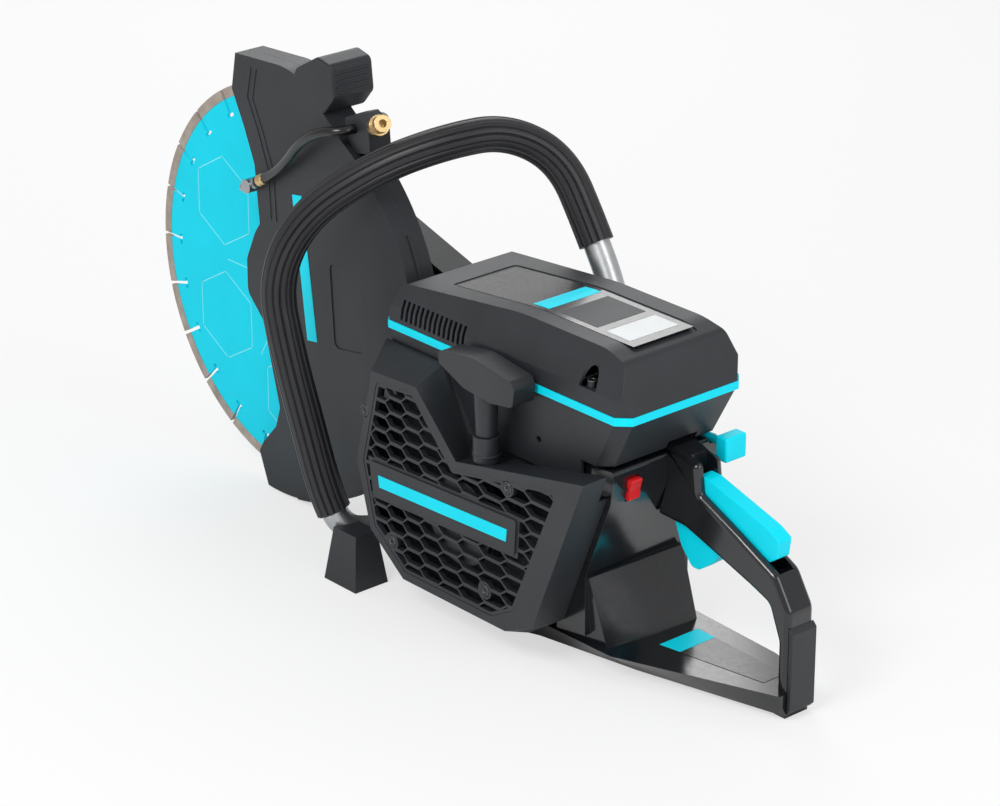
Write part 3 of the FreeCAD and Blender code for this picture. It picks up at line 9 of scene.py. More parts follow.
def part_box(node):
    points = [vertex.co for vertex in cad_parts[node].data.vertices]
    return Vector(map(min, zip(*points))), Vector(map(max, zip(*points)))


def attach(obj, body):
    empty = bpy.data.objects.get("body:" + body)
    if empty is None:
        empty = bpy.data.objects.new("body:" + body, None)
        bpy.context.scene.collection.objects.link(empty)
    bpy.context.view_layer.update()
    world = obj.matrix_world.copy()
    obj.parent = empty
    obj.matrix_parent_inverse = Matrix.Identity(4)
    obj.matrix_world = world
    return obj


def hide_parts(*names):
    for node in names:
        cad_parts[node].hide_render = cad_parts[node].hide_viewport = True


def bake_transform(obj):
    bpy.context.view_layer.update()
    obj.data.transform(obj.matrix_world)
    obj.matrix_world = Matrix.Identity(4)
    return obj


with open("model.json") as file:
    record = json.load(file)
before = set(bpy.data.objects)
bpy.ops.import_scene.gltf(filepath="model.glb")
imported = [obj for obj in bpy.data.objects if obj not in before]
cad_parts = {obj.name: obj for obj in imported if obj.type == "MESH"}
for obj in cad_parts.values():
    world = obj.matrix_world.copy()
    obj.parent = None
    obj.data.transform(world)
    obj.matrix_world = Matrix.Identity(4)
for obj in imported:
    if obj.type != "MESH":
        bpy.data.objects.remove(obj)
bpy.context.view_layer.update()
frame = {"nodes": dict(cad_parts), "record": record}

# ------------------------------------------------------------------ places
# The drawing's origin is on the floor under the blade's centre.
# Lengths are in millimetres unless a comment says metres.
MM = 0.001
blade_low, blade_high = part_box("blade_core")
BLADE_X = (blade_low[0] + blade_high[0]) / 2
BLADE_Y = (blade_low[1] + blade_high[1]) / 2
BLADE_Z = (blade_low[2] + blade_high[2]) / 2 / MM
BODY_X, BODY_Y = 10.0, -9.0


def at(x, y, z):
    """A point of the blade's drawing, in metres in the frame."""
    return Vector((BLADE_X + x * MM, BLADE_Y + y * MM, z * MM))


def body_at(x, y, z):
    """A point of the engine body's drawing, in metres in the frame."""
    return at(x + BODY_X, y + BODY_Y, z)


def srgb(r, g, b):
    out = []
    for value in (r, g, b):
        c = value / 255.0
        out.append(c / 12.92 if c <= 0.04045 else ((c + 0.055) / 1.055) ** 2.4)
    return tuple(out) + (1.0,)


def scaled(colour, factor):
    return tuple(min(1.0, c * factor) for c in colour[:3]) + (1.0,)


# ------------------------------------------------------------------ materials
CLOUD_DETAIL = 5.0
GRAIN_DETAIL = 3.0
GLOSS_BELOW, GLOSS_ABOVE, GLOSS_FLOOR = 0.07, 0.09, 0.04
COAT_ROUGHNESS = 0.12
BEVEL_SAMPLES = 4
RELIEF_DEPTH = 0.0004            # metres
# Painted edge highlight: a lighter colour where the rounded normal turns away from the true normal.
EDGE_HIGHLIGHT_START, EDGE_HIGHLIGHT_FULL = 0.99, 0.90   # cosines between the rounded and the true normal
EDGE_HIGHLIGHT_GAIN = 2.6
EDGE_HIGHLIGHT_METAL = (0.8, 0.8, 0.8, 1.0)


def surface(name, colour, rough, metal=0.0, grain=900.0, bump=0.12, blotch=18.0, vary=0.18,
            edge_highlight=0.0, coat=0.0, bevel=0.0006, specular=0.5):
    """A procedural finish: uneven colour, uneven gloss, fine grain, and rounded edges with a painted
    highlight that makes them lighter.
    """
    mat = bpy.data.materials.new(name)
    mat.use_nodes = True
    tree = mat.node_tree
    tree.nodes.clear()
    new = tree.nodes.new
    link = tree.links.new
    out = new("ShaderNodeOutputMaterial")
    shader = new("ShaderNodeBsdfPrincipled")
    shader.inputs["Metallic"].default_value = metal
    shader.inputs["Coat Weight"].default_value = coat
    shader.inputs["Specular IOR Level"].default_value = specular
    shader.inputs["Coat Roughness"].default_value = COAT_ROUGHNESS
    link(shader.outputs[0], out.inputs[0])
    coords = new("ShaderNodeTexCoord")
    cloud = new("ShaderNodeTexNoise")
    cloud.inputs["Scale"].default_value = blotch
    cloud.inputs["Detail"].default_value = CLOUD_DETAIL
    fine = new("ShaderNodeTexNoise")
    fine.inputs["Scale"].default_value = grain
    fine.inputs["Detail"].default_value = GRAIN_DETAIL
    link(coords.outputs["Object"], cloud.inputs["Vector"])
    link(coords.outputs["Object"], fine.inputs["Vector"])
    ramp = new("ShaderNodeValToRGB")
    ramp.color_ramp.elements[0].position = 0.3
    ramp.color_ramp.elements[1].position = 0.7
    ramp.color_ramp.elements[0].color = scaled(colour, 1.0 - vary)
    ramp.color_ramp.elements[1].color = scaled(colour, 1.0 + vary)
    link(cloud.outputs["Fac"], ramp.inputs[0])
    base = ramp.outputs[0]
    gloss = new("ShaderNodeMapRange")
    gloss.inputs["To Min"].default_value = max(GLOSS_FLOOR, rough - GLOSS_BELOW)
    gloss.inputs["To Max"].default_value = rough + GLOSS_ABOVE
    link(fine.outputs["Fac"], gloss.inputs["Value"])
    link(gloss.outputs[0], shader.inputs["Roughness"])
    softened = new("ShaderNodeBevel")
    softened.samples = BEVEL_SAMPLES
    softened.inputs["Radius"].default_value = bevel
    relief = new("ShaderNodeBump")
    relief.inputs["Strength"].default_value = bump
    relief.inputs["Distance"].default_value = RELIEF_DEPTH
    link(fine.outputs["Fac"], relief.inputs["Height"])
    link(softened.outputs[0], relief.inputs["Normal"])
    link(relief.outputs[0], shader.inputs["Normal"])
    # Painted highlight: the base colour turns lighter on rounded edges, and light grey on metals.
    if edge_highlight > 0:
        geometry = new("ShaderNodeNewGeometry")
        facing = new("ShaderNodeVectorMath")
        facing.operation = "DOT_PRODUCT"
        link(softened.outputs[0], facing.inputs[0])
        link(geometry.outputs["Normal"], facing.inputs[1])
        rim = new("ShaderNodeMapRange")
        rim.inputs["From Min"].default_value = EDGE_HIGHLIGHT_START
        rim.inputs["From Max"].default_value = EDGE_HIGHLIGHT_FULL
        rim.inputs["To Max"].default_value = edge_highlight
        link(facing.outputs["Value"], rim.inputs["Value"])
        mix = new("ShaderNodeMix")
        mix.data_type = "RGBA"
        mix.inputs["B"].default_value = scaled(colour, EDGE_HIGHLIGHT_GAIN) if metal < 0.5 else EDGE_HIGHLIGHT_METAL
        link(rim.outputs[0], mix.inputs["Factor"])
        link(base, mix.inputs["A"])
        base = mix.outputs["Result"]
    link(base, shader.inputs["Base Color"])
    return mat


MATT = surface("matt_black_plastic", srgb(37, 40, 44), 0.44, grain=1400.0, bump=0.20, edge_highlight=0.35)
GUARD = surface("guard_black", srgb(34, 37, 42), 0.46, grain=1100.0, bump=0.16, edge_highlight=0.25)
GLOSS = surface("gloss_black_plastic", srgb(20, 22, 26), 0.17, grain=260.0, bump=0.03, edge_highlight=0.2, coat=0.5)
RUBBER = surface("black_rubber", srgb(34, 34, 37), 0.42, grain=700.0, bump=0.14, edge_highlight=0.3)
HOSE = surface("hose_rubber", srgb(18, 18, 20), 0.22, grain=500.0, bump=0.05, coat=0.25)
BLADE = surface("blade_turquoise", srgb(0, 216, 240), 0.48, grain=500.0, bump=0.05, vary=0.03,
                bevel=0.0003, specular=0.15)
TRIM = surface("trim_turquoise", srgb(0, 226, 248), 0.40, grain=800.0, bump=0.08, vary=0.03,
               edge_highlight=0.1, specular=0.2)
LINE = surface("blade_line", srgb(120, 234, 246), 0.40, grain=500.0, bump=0.03, vary=0.05, bevel=0.0001)
RED = surface("switch_red", srgb(214, 28, 32), 0.30, grain=400.0, bump=0.04, vary=0.08)
STEEL = surface("machined_steel", srgb(168, 170, 172), 0.32, metal=1.0, grain=600.0, bump=0.08, edge_highlight=0.4)
ZINC = surface("galvanised_tube", srgb(196, 198, 200), 0.34, metal=0.9, grain=150.0, bump=0.08,
               blotch=60.0, vary=0.14)
DARK = surface("dark_engine_paint", srgb(30, 31, 34), 0.60, grain=1200.0, bump=0.30, edge_highlight=0.2)
SCREW = surface("blackened_screw", srgb(58, 60, 64), 0.38, metal=0.8, grain=600.0, bump=0.08, edge_highlight=0.5)
CAST = surface("cast_aluminium", srgb(150, 152, 155), 0.52, metal=0.9, grain=1200.0, bump=0.30, edge_highlight=0.3)
BRASS = surface("brass", srgb(206, 178, 128), 0.30, metal=1.0, grain=500.0, bump=0.06, edge_highlight=0.4)
SEGMENT = surface("sintered_segment", srgb(168, 156, 145), 0.60, metal=0.25, grain=2200.0, bump=0.55,
                  blotch=70.0, vary=0.25)
NYLON = surface("grey_nylon", srgb(36, 37, 40), 0.45, grain=900.0, bump=0.10)
ROPE = surface("woven_rope", srgb(176, 174, 166), 0.80, grain=2600.0, bump=0.60, vary=0.2)
PANEL = surface("label_panel", srgb(30, 31, 34), 0.24, grain=200.0, bump=0.02, coat=0.4)
PALE = surface("label_white", srgb(214, 218, 220), 0.35, grain=200.0, bump=0.02, vary=0.04)

NODES_OF_FINISH = (
    (MATT, ("top_cover", "engine_shroud", "starter_cover", "starter_grille", "water_bracket", "belt_cover",
            "front_feet", "starter_grip", "rear_pad", "rope_guide", "air_filter")),
    (GUARD, ("guard_grip", "guard_left_shell", "guard_right_shell")),
    (TRIM, ("choke_knob", "lockout_lever", "throttle_trigger", "cover_stripe")),
    (RED, ("stop_switch",)),
    (GLOSS, ("fuel_tank", "rear_handle", "fuel_cap")),
    (BLADE, ("blade_core",)),
    (SEGMENT, ("blade_segments",)),
    (RUBBER, ("handle_sleeve", "v_belt", "spark_plug")),
    (HOSE, ("hose_left", "hose_right")),
    (ZINC, ("front_handle_tube", "handle_bracket")),
    (BRASS, ("water_connector",)),
    (DARK, ("cutting_arm", "crankcase", "flywheel", "recoil_spring")),
    (CAST, ("cylinder", "piston", "carburettor")),
    (SCREW, ("starter_screws", "cover_screws")),
    (NYLON, ("starter_pulley", "starter_spider")),
    (ROPE, ("starter_rope", "rope_coil")))
FINISH = {node: finish for finish, nodes in NODES_OF_FINISH for node in nodes}
for node, holder in frame["nodes"].items():
    holder.data.materials.clear()
    holder.data.materials.append(FINISH.get(node, STEEL))

BODY_OF = {node: body for body, nodes in frame["record"]["behaviour"]["bodies"].items() for node in nodes}


# ------------------------------------------------------------------ mesh tools
SMOOTH_ANGLE = 38.0              # degrees, and so are the next two
BEVEL_ANGLE = 32.0
FLAT_ANGLE = 0.6
FACE_WEIGHT = 80
MERGE_DISTANCE = 0.00001         # metres
CURVE_STEPS = 16
ROUND_STEPS = 8


def to_object(name, mesh, mat, body):
    piece = bpy.data.objects.new(name, mesh)
    bpy.context.scene.collection.objects.link(piece)
    piece.data.materials.clear()
    piece.data.materials.append(mat)
    if body is not None:
        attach(piece, body)
    return piece


def finish_mesh(work, name):
    """A mesh from the work, which is freed."""
    mesh = bpy.data.meshes.new(name)
    work.to_mesh(mesh)
    work.free()
    return mesh


def apply_modifiers(piece):
    """Replace the piece's mesh by its evaluated mesh."""
    graph = bpy.context.evaluated_depsgraph_get()
    done = bpy.data.meshes.new_from_object(piece.evaluated_get(graph))
    piece.modifiers.clear()
    piece.data = done


def smooth_edges(piece, angle=SMOOTH_ANGLE):
    """Smooth shading that keeps flat faces flat."""
    piece.data.polygons.foreach_set("use_smooth", [True] * len(piece.data.polygons))
    piece.data.set_sharp_from_angle(angle=math.radians(angle))
    weigh = piece.modifiers.new("normals", "WEIGHTED_NORMAL")
    weigh.keep_sharp = True
    weigh.weight = FACE_WEIGHT
    apply_modifiers(piece)


def rounded(piece, width, segments=2):
    """Round the piece's sharp edges."""
    bevel = piece.modifiers.new("edges", "BEVEL")
    bevel.width = width * MM
    bevel.segments = segments
    bevel.limit_method = "ANGLE"
    bevel.angle_limit = math.radians(BEVEL_ANGLE)
    apply_modifiers(piece)
    smooth_edges(piece)


def detailed(node, width, segments=2):
    """A copy of a CAD node, its flat facets joined and its edges rounded, shown in the node's place."""
    work = bmesh.new()
    work.from_mesh(frame["nodes"][node].data)
    bmesh.ops.remove_doubles(work, verts=work.verts, dist=MERGE_DISTANCE)
    bmesh.ops.dissolve_limit(work, angle_limit=math.radians(FLAT_ANGLE), verts=work.verts, edges=work.edges)
    mesh = finish_mesh(work, node + "_shell")
    piece = to_object(node + "_shell", mesh, FINISH[node], BODY_OF[node])
    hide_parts(node)
    rounded(piece, width, segments)
    return piece


def prism(name, outline, normal_axis, low, high, mat, body, place=at, bevel=0.4):
    """A plate with rounded edges. The outline is in the two other axes, in millimetres."""
    work = bmesh.new()
    rings = []
    for level in (low, high):
        ring = []
        for a, b in outline:
            point = {"x": (level, a, b), "y": (a, level, b), "z": (a, b, level)}[normal_axis]
            ring.append(work.verts.new(place(*point)))
        rings.append(ring)
    work.faces.new(rings[0])
    work.faces.new(rings[1][::-1])
    count = len(outline)
    for i in range(count):
        after = (i + 1) % count
        work.faces.new((rings[0][i], rings[1][i], rings[1][after], rings[0][after]))
    bmesh.ops.recalc_face_normals(work, faces=work.faces)
    piece = to_object(name, finish_mesh(work, name), mat, body)
    if bevel > 0:
        rounded(piece, bevel)
    return piece


def strip(name, rows, mat, body):
    """A bar whose section is the four points of each row, closed at both ends. Points are in metres."""
    work = bmesh.new()
    loops = [[work.verts.new(point) for point in row] for row in rows]
    for lower, upper in zip(loops, loops[1:]):
        for i in range(4):
            after = (i + 1) % 4
            work.faces.new((lower[i], lower[after], upper[after], upper[i]))
    work.faces.new(loops[0][::-1])
    work.faces.new(loops[-1])
    bmesh.ops.recalc_face_normals(work, faces=work.faces)
    return to_object(name, finish_mesh(work, name), mat, body)


def join(name, pieces, body):
    """Make one piece of several."""
    work = bmesh.new()
    mats = []
    for piece in pieces:
        offset = len(work.faces)
        work.from_mesh(piece.data)
        work.faces.ensure_lookup_table()
        mat = piece.data.materials[0]
        if mat not in mats:
            mats.append(mat)
        for face in work.faces[offset:]:
            face.material_index = mats.index(mat)
    mesh = finish_mesh(work, name)
    for piece in pieces:
        bpy.data.objects.remove(piece)
    joined = to_object(name, mesh, mats[0], body)
    for mat in mats[1:]:
        joined.data.materials.append(mat)
    return joined


def swept(name, points, mat, body, radius=None, profile=None, start=0.0, end=1.0):
    """A round or ribbed bar along a smooth line through the drawing's points."""
    data = bpy.data.curves.new(name, "CURVE")
    data.dimensions = "3D"
    data.resolution_u = CURVE_STEPS
    spline = data.splines.new("NURBS")
    spline.points.add(len(points) - 1)
    for i, point in enumerate(points):
        spline.points[i].co = (*point, 1.0)
    spline.order_u = 3
    spline.use_endpoint_u = True
    data.use_fill_caps = True
    data.bevel_factor_start = start
    data.bevel_factor_end = end
    data.bevel_factor_mapping_start = "SPLINE"
    data.bevel_factor_mapping_end = "SPLINE"
    if profile is None:
        data.bevel_depth = radius * MM
        data.bevel_resolution = ROUND_STEPS
    else:
        data.bevel_mode = "OBJECT"
        data.bevel_object = profile
    holder = bpy.data.objects.new(name + "_line", data)
    bpy.context.scene.collection.objects.link(holder)
    bpy.context.view_layer.update()
    graph = bpy.context.evaluated_depsgraph_get()
    mesh = bpy.data.meshes.new_from_object(holder.evaluated_get(graph))
    bpy.data.objects.remove(holder)
    piece = to_object(name, mesh, mat, body)
    smooth_edges(piece)
    return piece


def barrel(name, base, axis, rings, mat, body, sides=32, soft=0.25):
    """A turned piece from a base point in metres: rings of (distance along the axis, radius)."""
    axis = Vector(axis).normalized()
    turn = Vector((0, 0, 1)).rotation_difference(axis).to_matrix()
    work = bmesh.new()
    loops = []
    for along, radius in rings:
        loop = []
        for i in range(sides):
            angle = 2 * math.pi * i / sides
            local = Vector((radius * math.cos(angle), radius * math.sin(angle), along)) * MM
            loop.append(work.verts.new(base + turn @ local))
        loops.append(loop)
    for lower, upper in zip(loops, loops[1:]):
        for i in range(sides):
            after = (i + 1) % sides
            work.faces.new((lower[i], lower[after], upper[after], upper[i]))
    work.faces.new(loops[0][::-1])
    work.faces.new(loops[-1])
    piece = to_object(name, finish_mesh(work, name), mat, body)
    if soft > 0:
        rounded(piece, soft)
    else:
        smooth_edges(piece)
    return piece


# ------------------------------------------------------------------ body shells
for node_name, edge_width in (
        ("top_cover", 1.2), ("engine_shroud", 0.8), ("starter_cover", 1.2), ("starter_grille", 0.35),
        ("guard_left_shell", 1.2), ("guard_right_shell", 1.2), ("guard_grip", 1.2), ("water_bracket", 0.8),
        ("belt_cover", 1.5), ("front_feet", 2.0), ("starter_grip", 1.2), ("rear_pad", 0.6),
        ("rope_guide", 0.5), ("lockout_lever", 1.4), ("throttle_trigger", 1.2), ("cover_stripe", 0.3),
        ("stop_switch", 0.5), ("fuel_tank", 2.6), ("rear_handle", 1.0), ("fuel_cap", 1.0),
        ("choke_knob", 0.5)):
    detailed(node_name, edge_width, 3)

# ------------------------------------------------------------------ front handle
HANDLE = [body_at(*p) for p in (
    (-316, -84, 196), (-300, -92, 232), (-266, -94, 284), (-236, -90, 334), (-208, -56, 358),
    (-188, -12, 354), (-154, 32, 334), (-110, 72, 292), (-91, 90, 236), (-110, 92, 178), (-134, 92, 120),
    (-153, 91, 70), (-166, 84, 38), (-176, 52, 32), (-180, 12, 31), (-180, -36, 31), (-184, -96, 31))]
TUBE_RADIUS = 11.0
SLEEVE_RADIUS = 14.4
SLEEVE_GROOVE = 1.5
SLEEVE_START, SLEEVE_END = 0.105, 0.765   # shares of the handle's length
RIBS = 15
POINTS_PER_RIB = 10


def ribbed_profile(outer, groove):
    """A closed section with lengthwise ribs."""
    data = bpy.data.curves.new("ribbed_section", "CURVE")
    data.dimensions = "2D"
    spline = data.splines.new("POLY")
    count = RIBS * POINTS_PER_RIB
    spline.points.add(count - 1)
    for i in range(count):
        angle = 2 * math.pi * i / count
        dip = max(0.0, math.cos(RIBS * angle)) ** 3
        radius = (outer - groove * dip) * MM
        spline.points[i].co = (radius * math.cos(angle), radius * math.sin(angle), 0.0, 1.0)
    spline.use_cyclic_u = True
    holder = bpy.data.objects.new("ribbed_section", data)
    bpy.context.scene.collection.objects.link(holder)
    return holder


section = ribbed_profile(SLEEVE_RADIUS, SLEEVE_GROOVE)
tube = swept("handle_tube", HANDLE, ZINC, "frame", radius=TUBE_RADIUS)
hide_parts("front_handle_tube")
sleeve = swept("ribbed_sleeve", HANDLE, RUBBER, "frame", profile=section,
               start=SLEEVE_START, end=SLEEVE_END)
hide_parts("handle_sleeve")
bpy.data.objects.remove(section)

# ------------------------------------------------------------------ starter rope
# The braided rope takes the CAD rope's place, from its foot in the housing up, and is tied to no body.
ROPE_STEPS = 48
ROPE_WIDE, ROPE_NARROW = 0.99, 0.93
rope_low, rope_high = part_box("starter_rope")
rope_x = (rope_low[0] + rope_high[0]) / 2
rope_y = (rope_low[1] + rope_high[1]) / 2
rope_radius = (rope_high[0] - rope_low[0]) / 2 / MM
rope_length = (rope_high[2] - rope_low[2]) / MM
rope_rings = [(rope_length * i / ROPE_STEPS, rope_radius * (ROPE_WIDE if i % 2 else ROPE_NARROW))
              for i in range(ROPE_STEPS + 1)]
rope = barrel("rope_braid", Vector((rope_x, rope_y, rope_low[2])), (0, 0, 1), rope_rings, ROPE, None,
              sides=16, soft=0.0)
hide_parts("starter_rope")
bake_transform(rope)

# ------------------------------------------------------------------ water kit
LEFT_HOSE = [at(*p) for p in ((-104, 14, 353), (-104, 26, 353), (-84, 34, 350), (-58, 34, 334),
                              (-34, 30, 310), (-12, 27, 292.7), (9.1, 27, 280.55))]
RIGHT_HOSE = [at(*p) for p in ((-104, -8, 353), (-104, -20, 353), (-84, -28, 350), (-58, -28, 334),
                               (-34, -22, 310), (-12, -18, 292.7), (9.1, -18, 280.55))]
HOSE_RADIUS = 4.0
FERRULE_BACK = 0.013             # metres, from the hose's end to the ferrule's start
FERRULE = ((0, 4.6), (1, 5.2), (3, 5.2), (3.6, 4.7), (4.6, 4.7), (5.2, 5.2), (8, 5.2), (9, 4.6))
for hose_name, route in (("hose_left", LEFT_HOSE), ("hose_right", RIGHT_HOSE)):
    line = swept(hose_name + "_rubber", route, HOSE, "guard", radius=HOSE_RADIUS)
    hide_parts(hose_name)
    heading = (route[-1] - route[-2]).normalized()
    barrel(hose_name + "_ferrule", route[-1] - heading * FERRULE_BACK, heading, FERRULE,
           BRASS, "guard")
axis_in = Vector((-0.83, 0.35, 0.43)).normalized()
inlet = at(-112, 3, 352)
THREAD_STEP, THREAD_CREST, THREAD_ROOT = 0.9, 6.9, 6.3
thread = [(THREAD_STEP * i, THREAD_CREST if i % 2 else THREAD_ROOT) for i in range(10)]
barrel("connector_thread", inlet + axis_in * 0.027, axis_in, thread + [(8.1, 4.8), (0.5, 4.6)],
       BRASS, "guard")
barrel("connector_nut", inlet + axis_in * 0.0185, axis_in, ((0, 7.8), (1, 8.8), (6.6, 8.8), (7.6, 7.8)),
       BRASS, "guard", sides=6)

# ------------------------------------------------------------------ blade
HEXAGON_CENTRE = 104.0
HEXAGON_SIDE = 40.0
LINK_START, LINK_END = 58.0, 86.0
LINE_WIDTH = 0.9
LINE_LOW, LINE_HIGH = 1.38, 1.46


def line_bar(points, width, y0, y1, name):
    """A thin flat line on the blade's face."""
    bars = []
    for k, (start, end) in enumerate(zip(points, points[1:])):
        along = Vector(end) - Vector(start)
        side = Vector((-along.y, along.x)).normalized() * (width / 2)
        ahead = along.normalized() * (width / 2)
        a, b = Vector(start) - ahead, Vector(end) + ahead
        outline = [tuple(a + side), tuple(b + side), tuple(b - side), tuple(a - side)]
        bars.append(prism("%s_%d" % (name, k), outline, "y", y0, y1, LINE, "arbor", bevel=0.0))
    return bars


def blade_lines(y0, y1, name):
    """A generic ring of open hexagons with short links between them."""
    bars = []
    for turn in range(6):
        heading = math.radians(60 * turn + 30)
        cx, cz = HEXAGON_CENTRE * math.cos(heading), BLADE_Z + HEXAGON_CENTRE * math.sin(heading)
        corners = [(cx + HEXAGON_SIDE * math.cos(heading + math.radians(60 * i)),
                    cz + HEXAGON_SIDE * math.sin(heading + math.radians(60 * i))) for i in range(7)]
        bars += line_bar(corners, LINE_WIDTH, y0, y1, "%s_hex%d" % (name, turn))
        between = heading + math.radians(30)
        spoke = [(r * math.cos(between), BLADE_Z + r * math.sin(between)) for r in (LINK_START, LINK_END)]
        bars += line_bar(spoke, LINE_WIDTH, y0, y1, "%s_link%d" % (name, turn))
    return join(name, bars, "arbor")


blade_lines(LINE_LOW, LINE_HIGH, "blade_lines_left")
blade_lines(-LINE_HIGH, -LINE_LOW, "blade_lines_right")


# ------------------------------------------------------------------ guard details
BAND_SLOPE = 0.6
BAND_SMOOTH_ANGLE = 30.0         # degrees
RIDGE_WIDTH = 1.3
GRIP_RIBS = 5
GRIP_RIB_STEP = 4.6
GRIP_RIB_MARGIN = 4.0


def rim_band(name, radius_in, radius_out, y0, y1, first, last, steps=90):
    """A band that follows the guard's round rim."""
    rows = []
    for i in range(steps + 1):
        angle = math.radians(first + (last - first) * i / steps)
        corners = ((radius_in, y0), (radius_out, y0 + BAND_SLOPE),
                   (radius_out, y1 - BAND_SLOPE), (radius_in, y1))
        rows.append([at(radius * math.cos(angle), y, BLADE_Z + radius * math.sin(angle))
                     for radius, y in corners])
    piece = strip(name, rows, GUARD, "guard")
    smooth_edges(piece, BAND_SMOOTH_ANGLE)
    return piece


rim_band("guard_seam_ridge", 181.8, 184.2, 3.2, 6.8, 150.0, 264.0)
rim_band("guard_edge_left", 181.6, 183.5, 15.6, 19.4, 150.0, 262.0)
for k, shift in enumerate((4.0, 11.0)):
    line_points = [(6 - shift, BLADE_Z + 64), (8 - shift, BLADE_Z + 106), (21 - shift, BLADE_Z + 138),
                   (34 - shift, BLADE_Z + 164), (28 - shift, BLADE_Z + 190)]
    wide = [(x - RIDGE_WIDTH, z) for x, z in reversed(line_points)]
    prism("guard_ridge_%d" % k, line_points + wide, "y", 18.6, 19.6, GUARD, "guard", bevel=0.3)
prism("guard_accent", [(-40, BLADE_Z + 96), (-28, BLADE_Z + 94), (-44, BLADE_Z - 30), (-57, BLADE_Z - 28)],
      "y", 18.8, 19.3, TRIM, "guard", bevel=0.0)
grip_low, grip_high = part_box("guard_grip")
grip_right = (grip_low[1] - at(0, 0, 0)[1]) / MM
grip_left = (grip_high[1] - at(0, 0, 0)[1]) / MM
ribs = []
for k in range(GRIP_RIBS):
    z = BLADE_Z + 193.0 + GRIP_RIB_STEP * k
    face_x = -86.0 + (z - BLADE_Z - 190.0) / 9.0
    outline = [(face_x + 1.0, z), (face_x - 0.9, z + 0.5), (face_x - 0.9, z + 1.9), (face_x + 1.0, z + 2.4)]
    ribs.append(prism("grip_rib_%d" % k, outline, "y",
                      grip_right + GRIP_RIB_MARGIN, grip_left - GRIP_RIB_MARGIN,
                      GUARD, "guard", bevel=0.4))
join("grip_ribs", ribs, "guard")

# ------------------------------------------------------------------ labels, left blank
PANEL_REAR_X, PANEL_FRONT_X = -345.0, -213.0
PANEL_FRONT_Z, PANEL_RISE, PANEL_REAR_Z = 257.2, 13.5, 270.7
LABEL_STEPS = 14
LABEL_DEPTH = 0.5


def crown(x):
    """Height of the cover's recessed panel at x of the body's drawing."""
    if x > PANEL_REAR_X:
        return PANEL_FRONT_Z + (x - PANEL_FRONT_X) / (PANEL_REAR_X - PANEL_FRONT_X) * PANEL_RISE
    return PANEL_REAR_Z


def crowned_plate(name, x0, x1, y0, y1, lift, mat):
    """A thin label that follows the cover's recessed panel."""
    rows = []
    for i in range(LABEL_STEPS + 1):
        x = x0 + (x1 - x0) * i / LABEL_STEPS
        z = crown(x) + lift
        corners = ((y0, -LABEL_DEPTH), (y0, 0.0), (y1, 0.0), (y1, -LABEL_DEPTH))
        rows.append([body_at(x, y, z + dz) for y, dz in corners])
    return strip(name, rows, mat, "frame")


crowned_plate("top_label_panel", -450.0, -250.0, -30.0, 32.0, 0.25, PANEL)
crowned_plate("top_label_band", -352.0, -334.0, -26.0, 28.0, 0.40, TRIM)
crowned_plate("top_label_blank", -440.0, -414.0, -24.0, 26.0, 0.40, PALE)
crowned_plate("top_label_grey", -404.0, -362.0, -24.0, 26.0, 0.38, MATT)

# ------------------------------------------------------------------ belt side
belt_y = (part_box("belt_cover")[0][1] - at(0, 0, 0)[1]) / MM
drum_low, drum_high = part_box("clutch_drum")
drive_u = ((drum_low[0] + drum_high[0]) / 2 - at(0, 0, 0)[0]) / MM
drive_z = (drum_low[2] + drum_high[2]) / 2 / MM


def along_belt(share, across):
    """A point of the belt cover's face, by its share of the way from blade to clutch."""
    step = Vector((drive_u, drive_z - BLADE_Z))
    side = Vector((-step.y, step.x)).normalized()
    spot = Vector((0.0, BLADE_Z)) + step * share + side * across
    return spot.x, spot.y


BELT_SCREW = ((0, 5.4), (2.2, 5.4), (2.8, 4.6), (2.8, 2.6), (1.4, 2.5))
BELT_SCREW_PLACES = ((-0.16, 30), (-0.16, -30), (0.30, 56), (0.30, -56), (0.62, 54), (0.62, -54))
for k, (share, across) in enumerate(BELT_SCREW_PLACES):
    x, z = along_belt(share, across)
    barrel("belt_cover_screw_%d" % k, at(x, belt_y + 0.5, z), (0, -1, 0), BELT_SCREW, SCREW, "frame")
pad_outline = [along_belt(0.06, 40), along_belt(0.58, 36), along_belt(0.62, 30), along_belt(0.62, -30),
               along_belt(0.58, -36), along_belt(0.06, -40), along_belt(0.0, -32), along_belt(0.0, 32)]
inner_pad = [along_belt(0.08, 35), along_belt(0.56, 31), along_belt(0.59, 26), along_belt(0.59, -26),
             along_belt(0.56, -31), along_belt(0.08, -35), along_belt(0.03, -28), along_belt(0.03, 28)]
for k in range(len(pad_outline)):
    after = (k + 1) % len(pad_outline)
    corners = [pad_outline[k], pad_outline[after], inner_pad[after], inner_pad[k]]
    prism("belt_panel_rib_%d" % k, corners, "y", belt_y - 1.0, belt_y + 0.4, MATT, "frame",
          bevel=0.0)

# ------------------------------------------------------------------ wall behind the fan, plaque, base label
# The wall is open round the crankshaft.
WALL_HOLE_RADIUS = 11.0
WALL_HOLE_STEP = 15
crank_x = (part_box("crankshaft")[0][0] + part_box("crankshaft")[1][0]) / 2
crank_z = (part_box("flywheel")[0][2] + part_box("flywheel")[1][2]) / 2
crank_u = (crank_x - body_at(0, 0, 0)[0]) / MM
crank_v = crank_z / MM
collar = []
for k in range(25):
    around = math.radians(WALL_HOLE_STEP * k)
    collar.append((crank_u + WALL_HOLE_RADIUS * math.sin(around),
                   crank_v - WALL_HOLE_RADIUS * math.cos(around)))
wall = [(-196.0, 156.5), (-189.7, 113.0), (-207.0, 52.6), (-251.1, 21.6)]
wall += [(crank_u, 21.0)] + collar + [(crank_u - 0.01, 21.0)]
wall += [(-372.9, 20.6), (-399.1, 38.4), (-445.0, 154.0), (-309.0, 147.9), (-296.0, 156.5)]
prism("fan_back_wall", wall, "y", 55.4, 56.2, DARK, "frame", place=body_at, bevel=0.0)

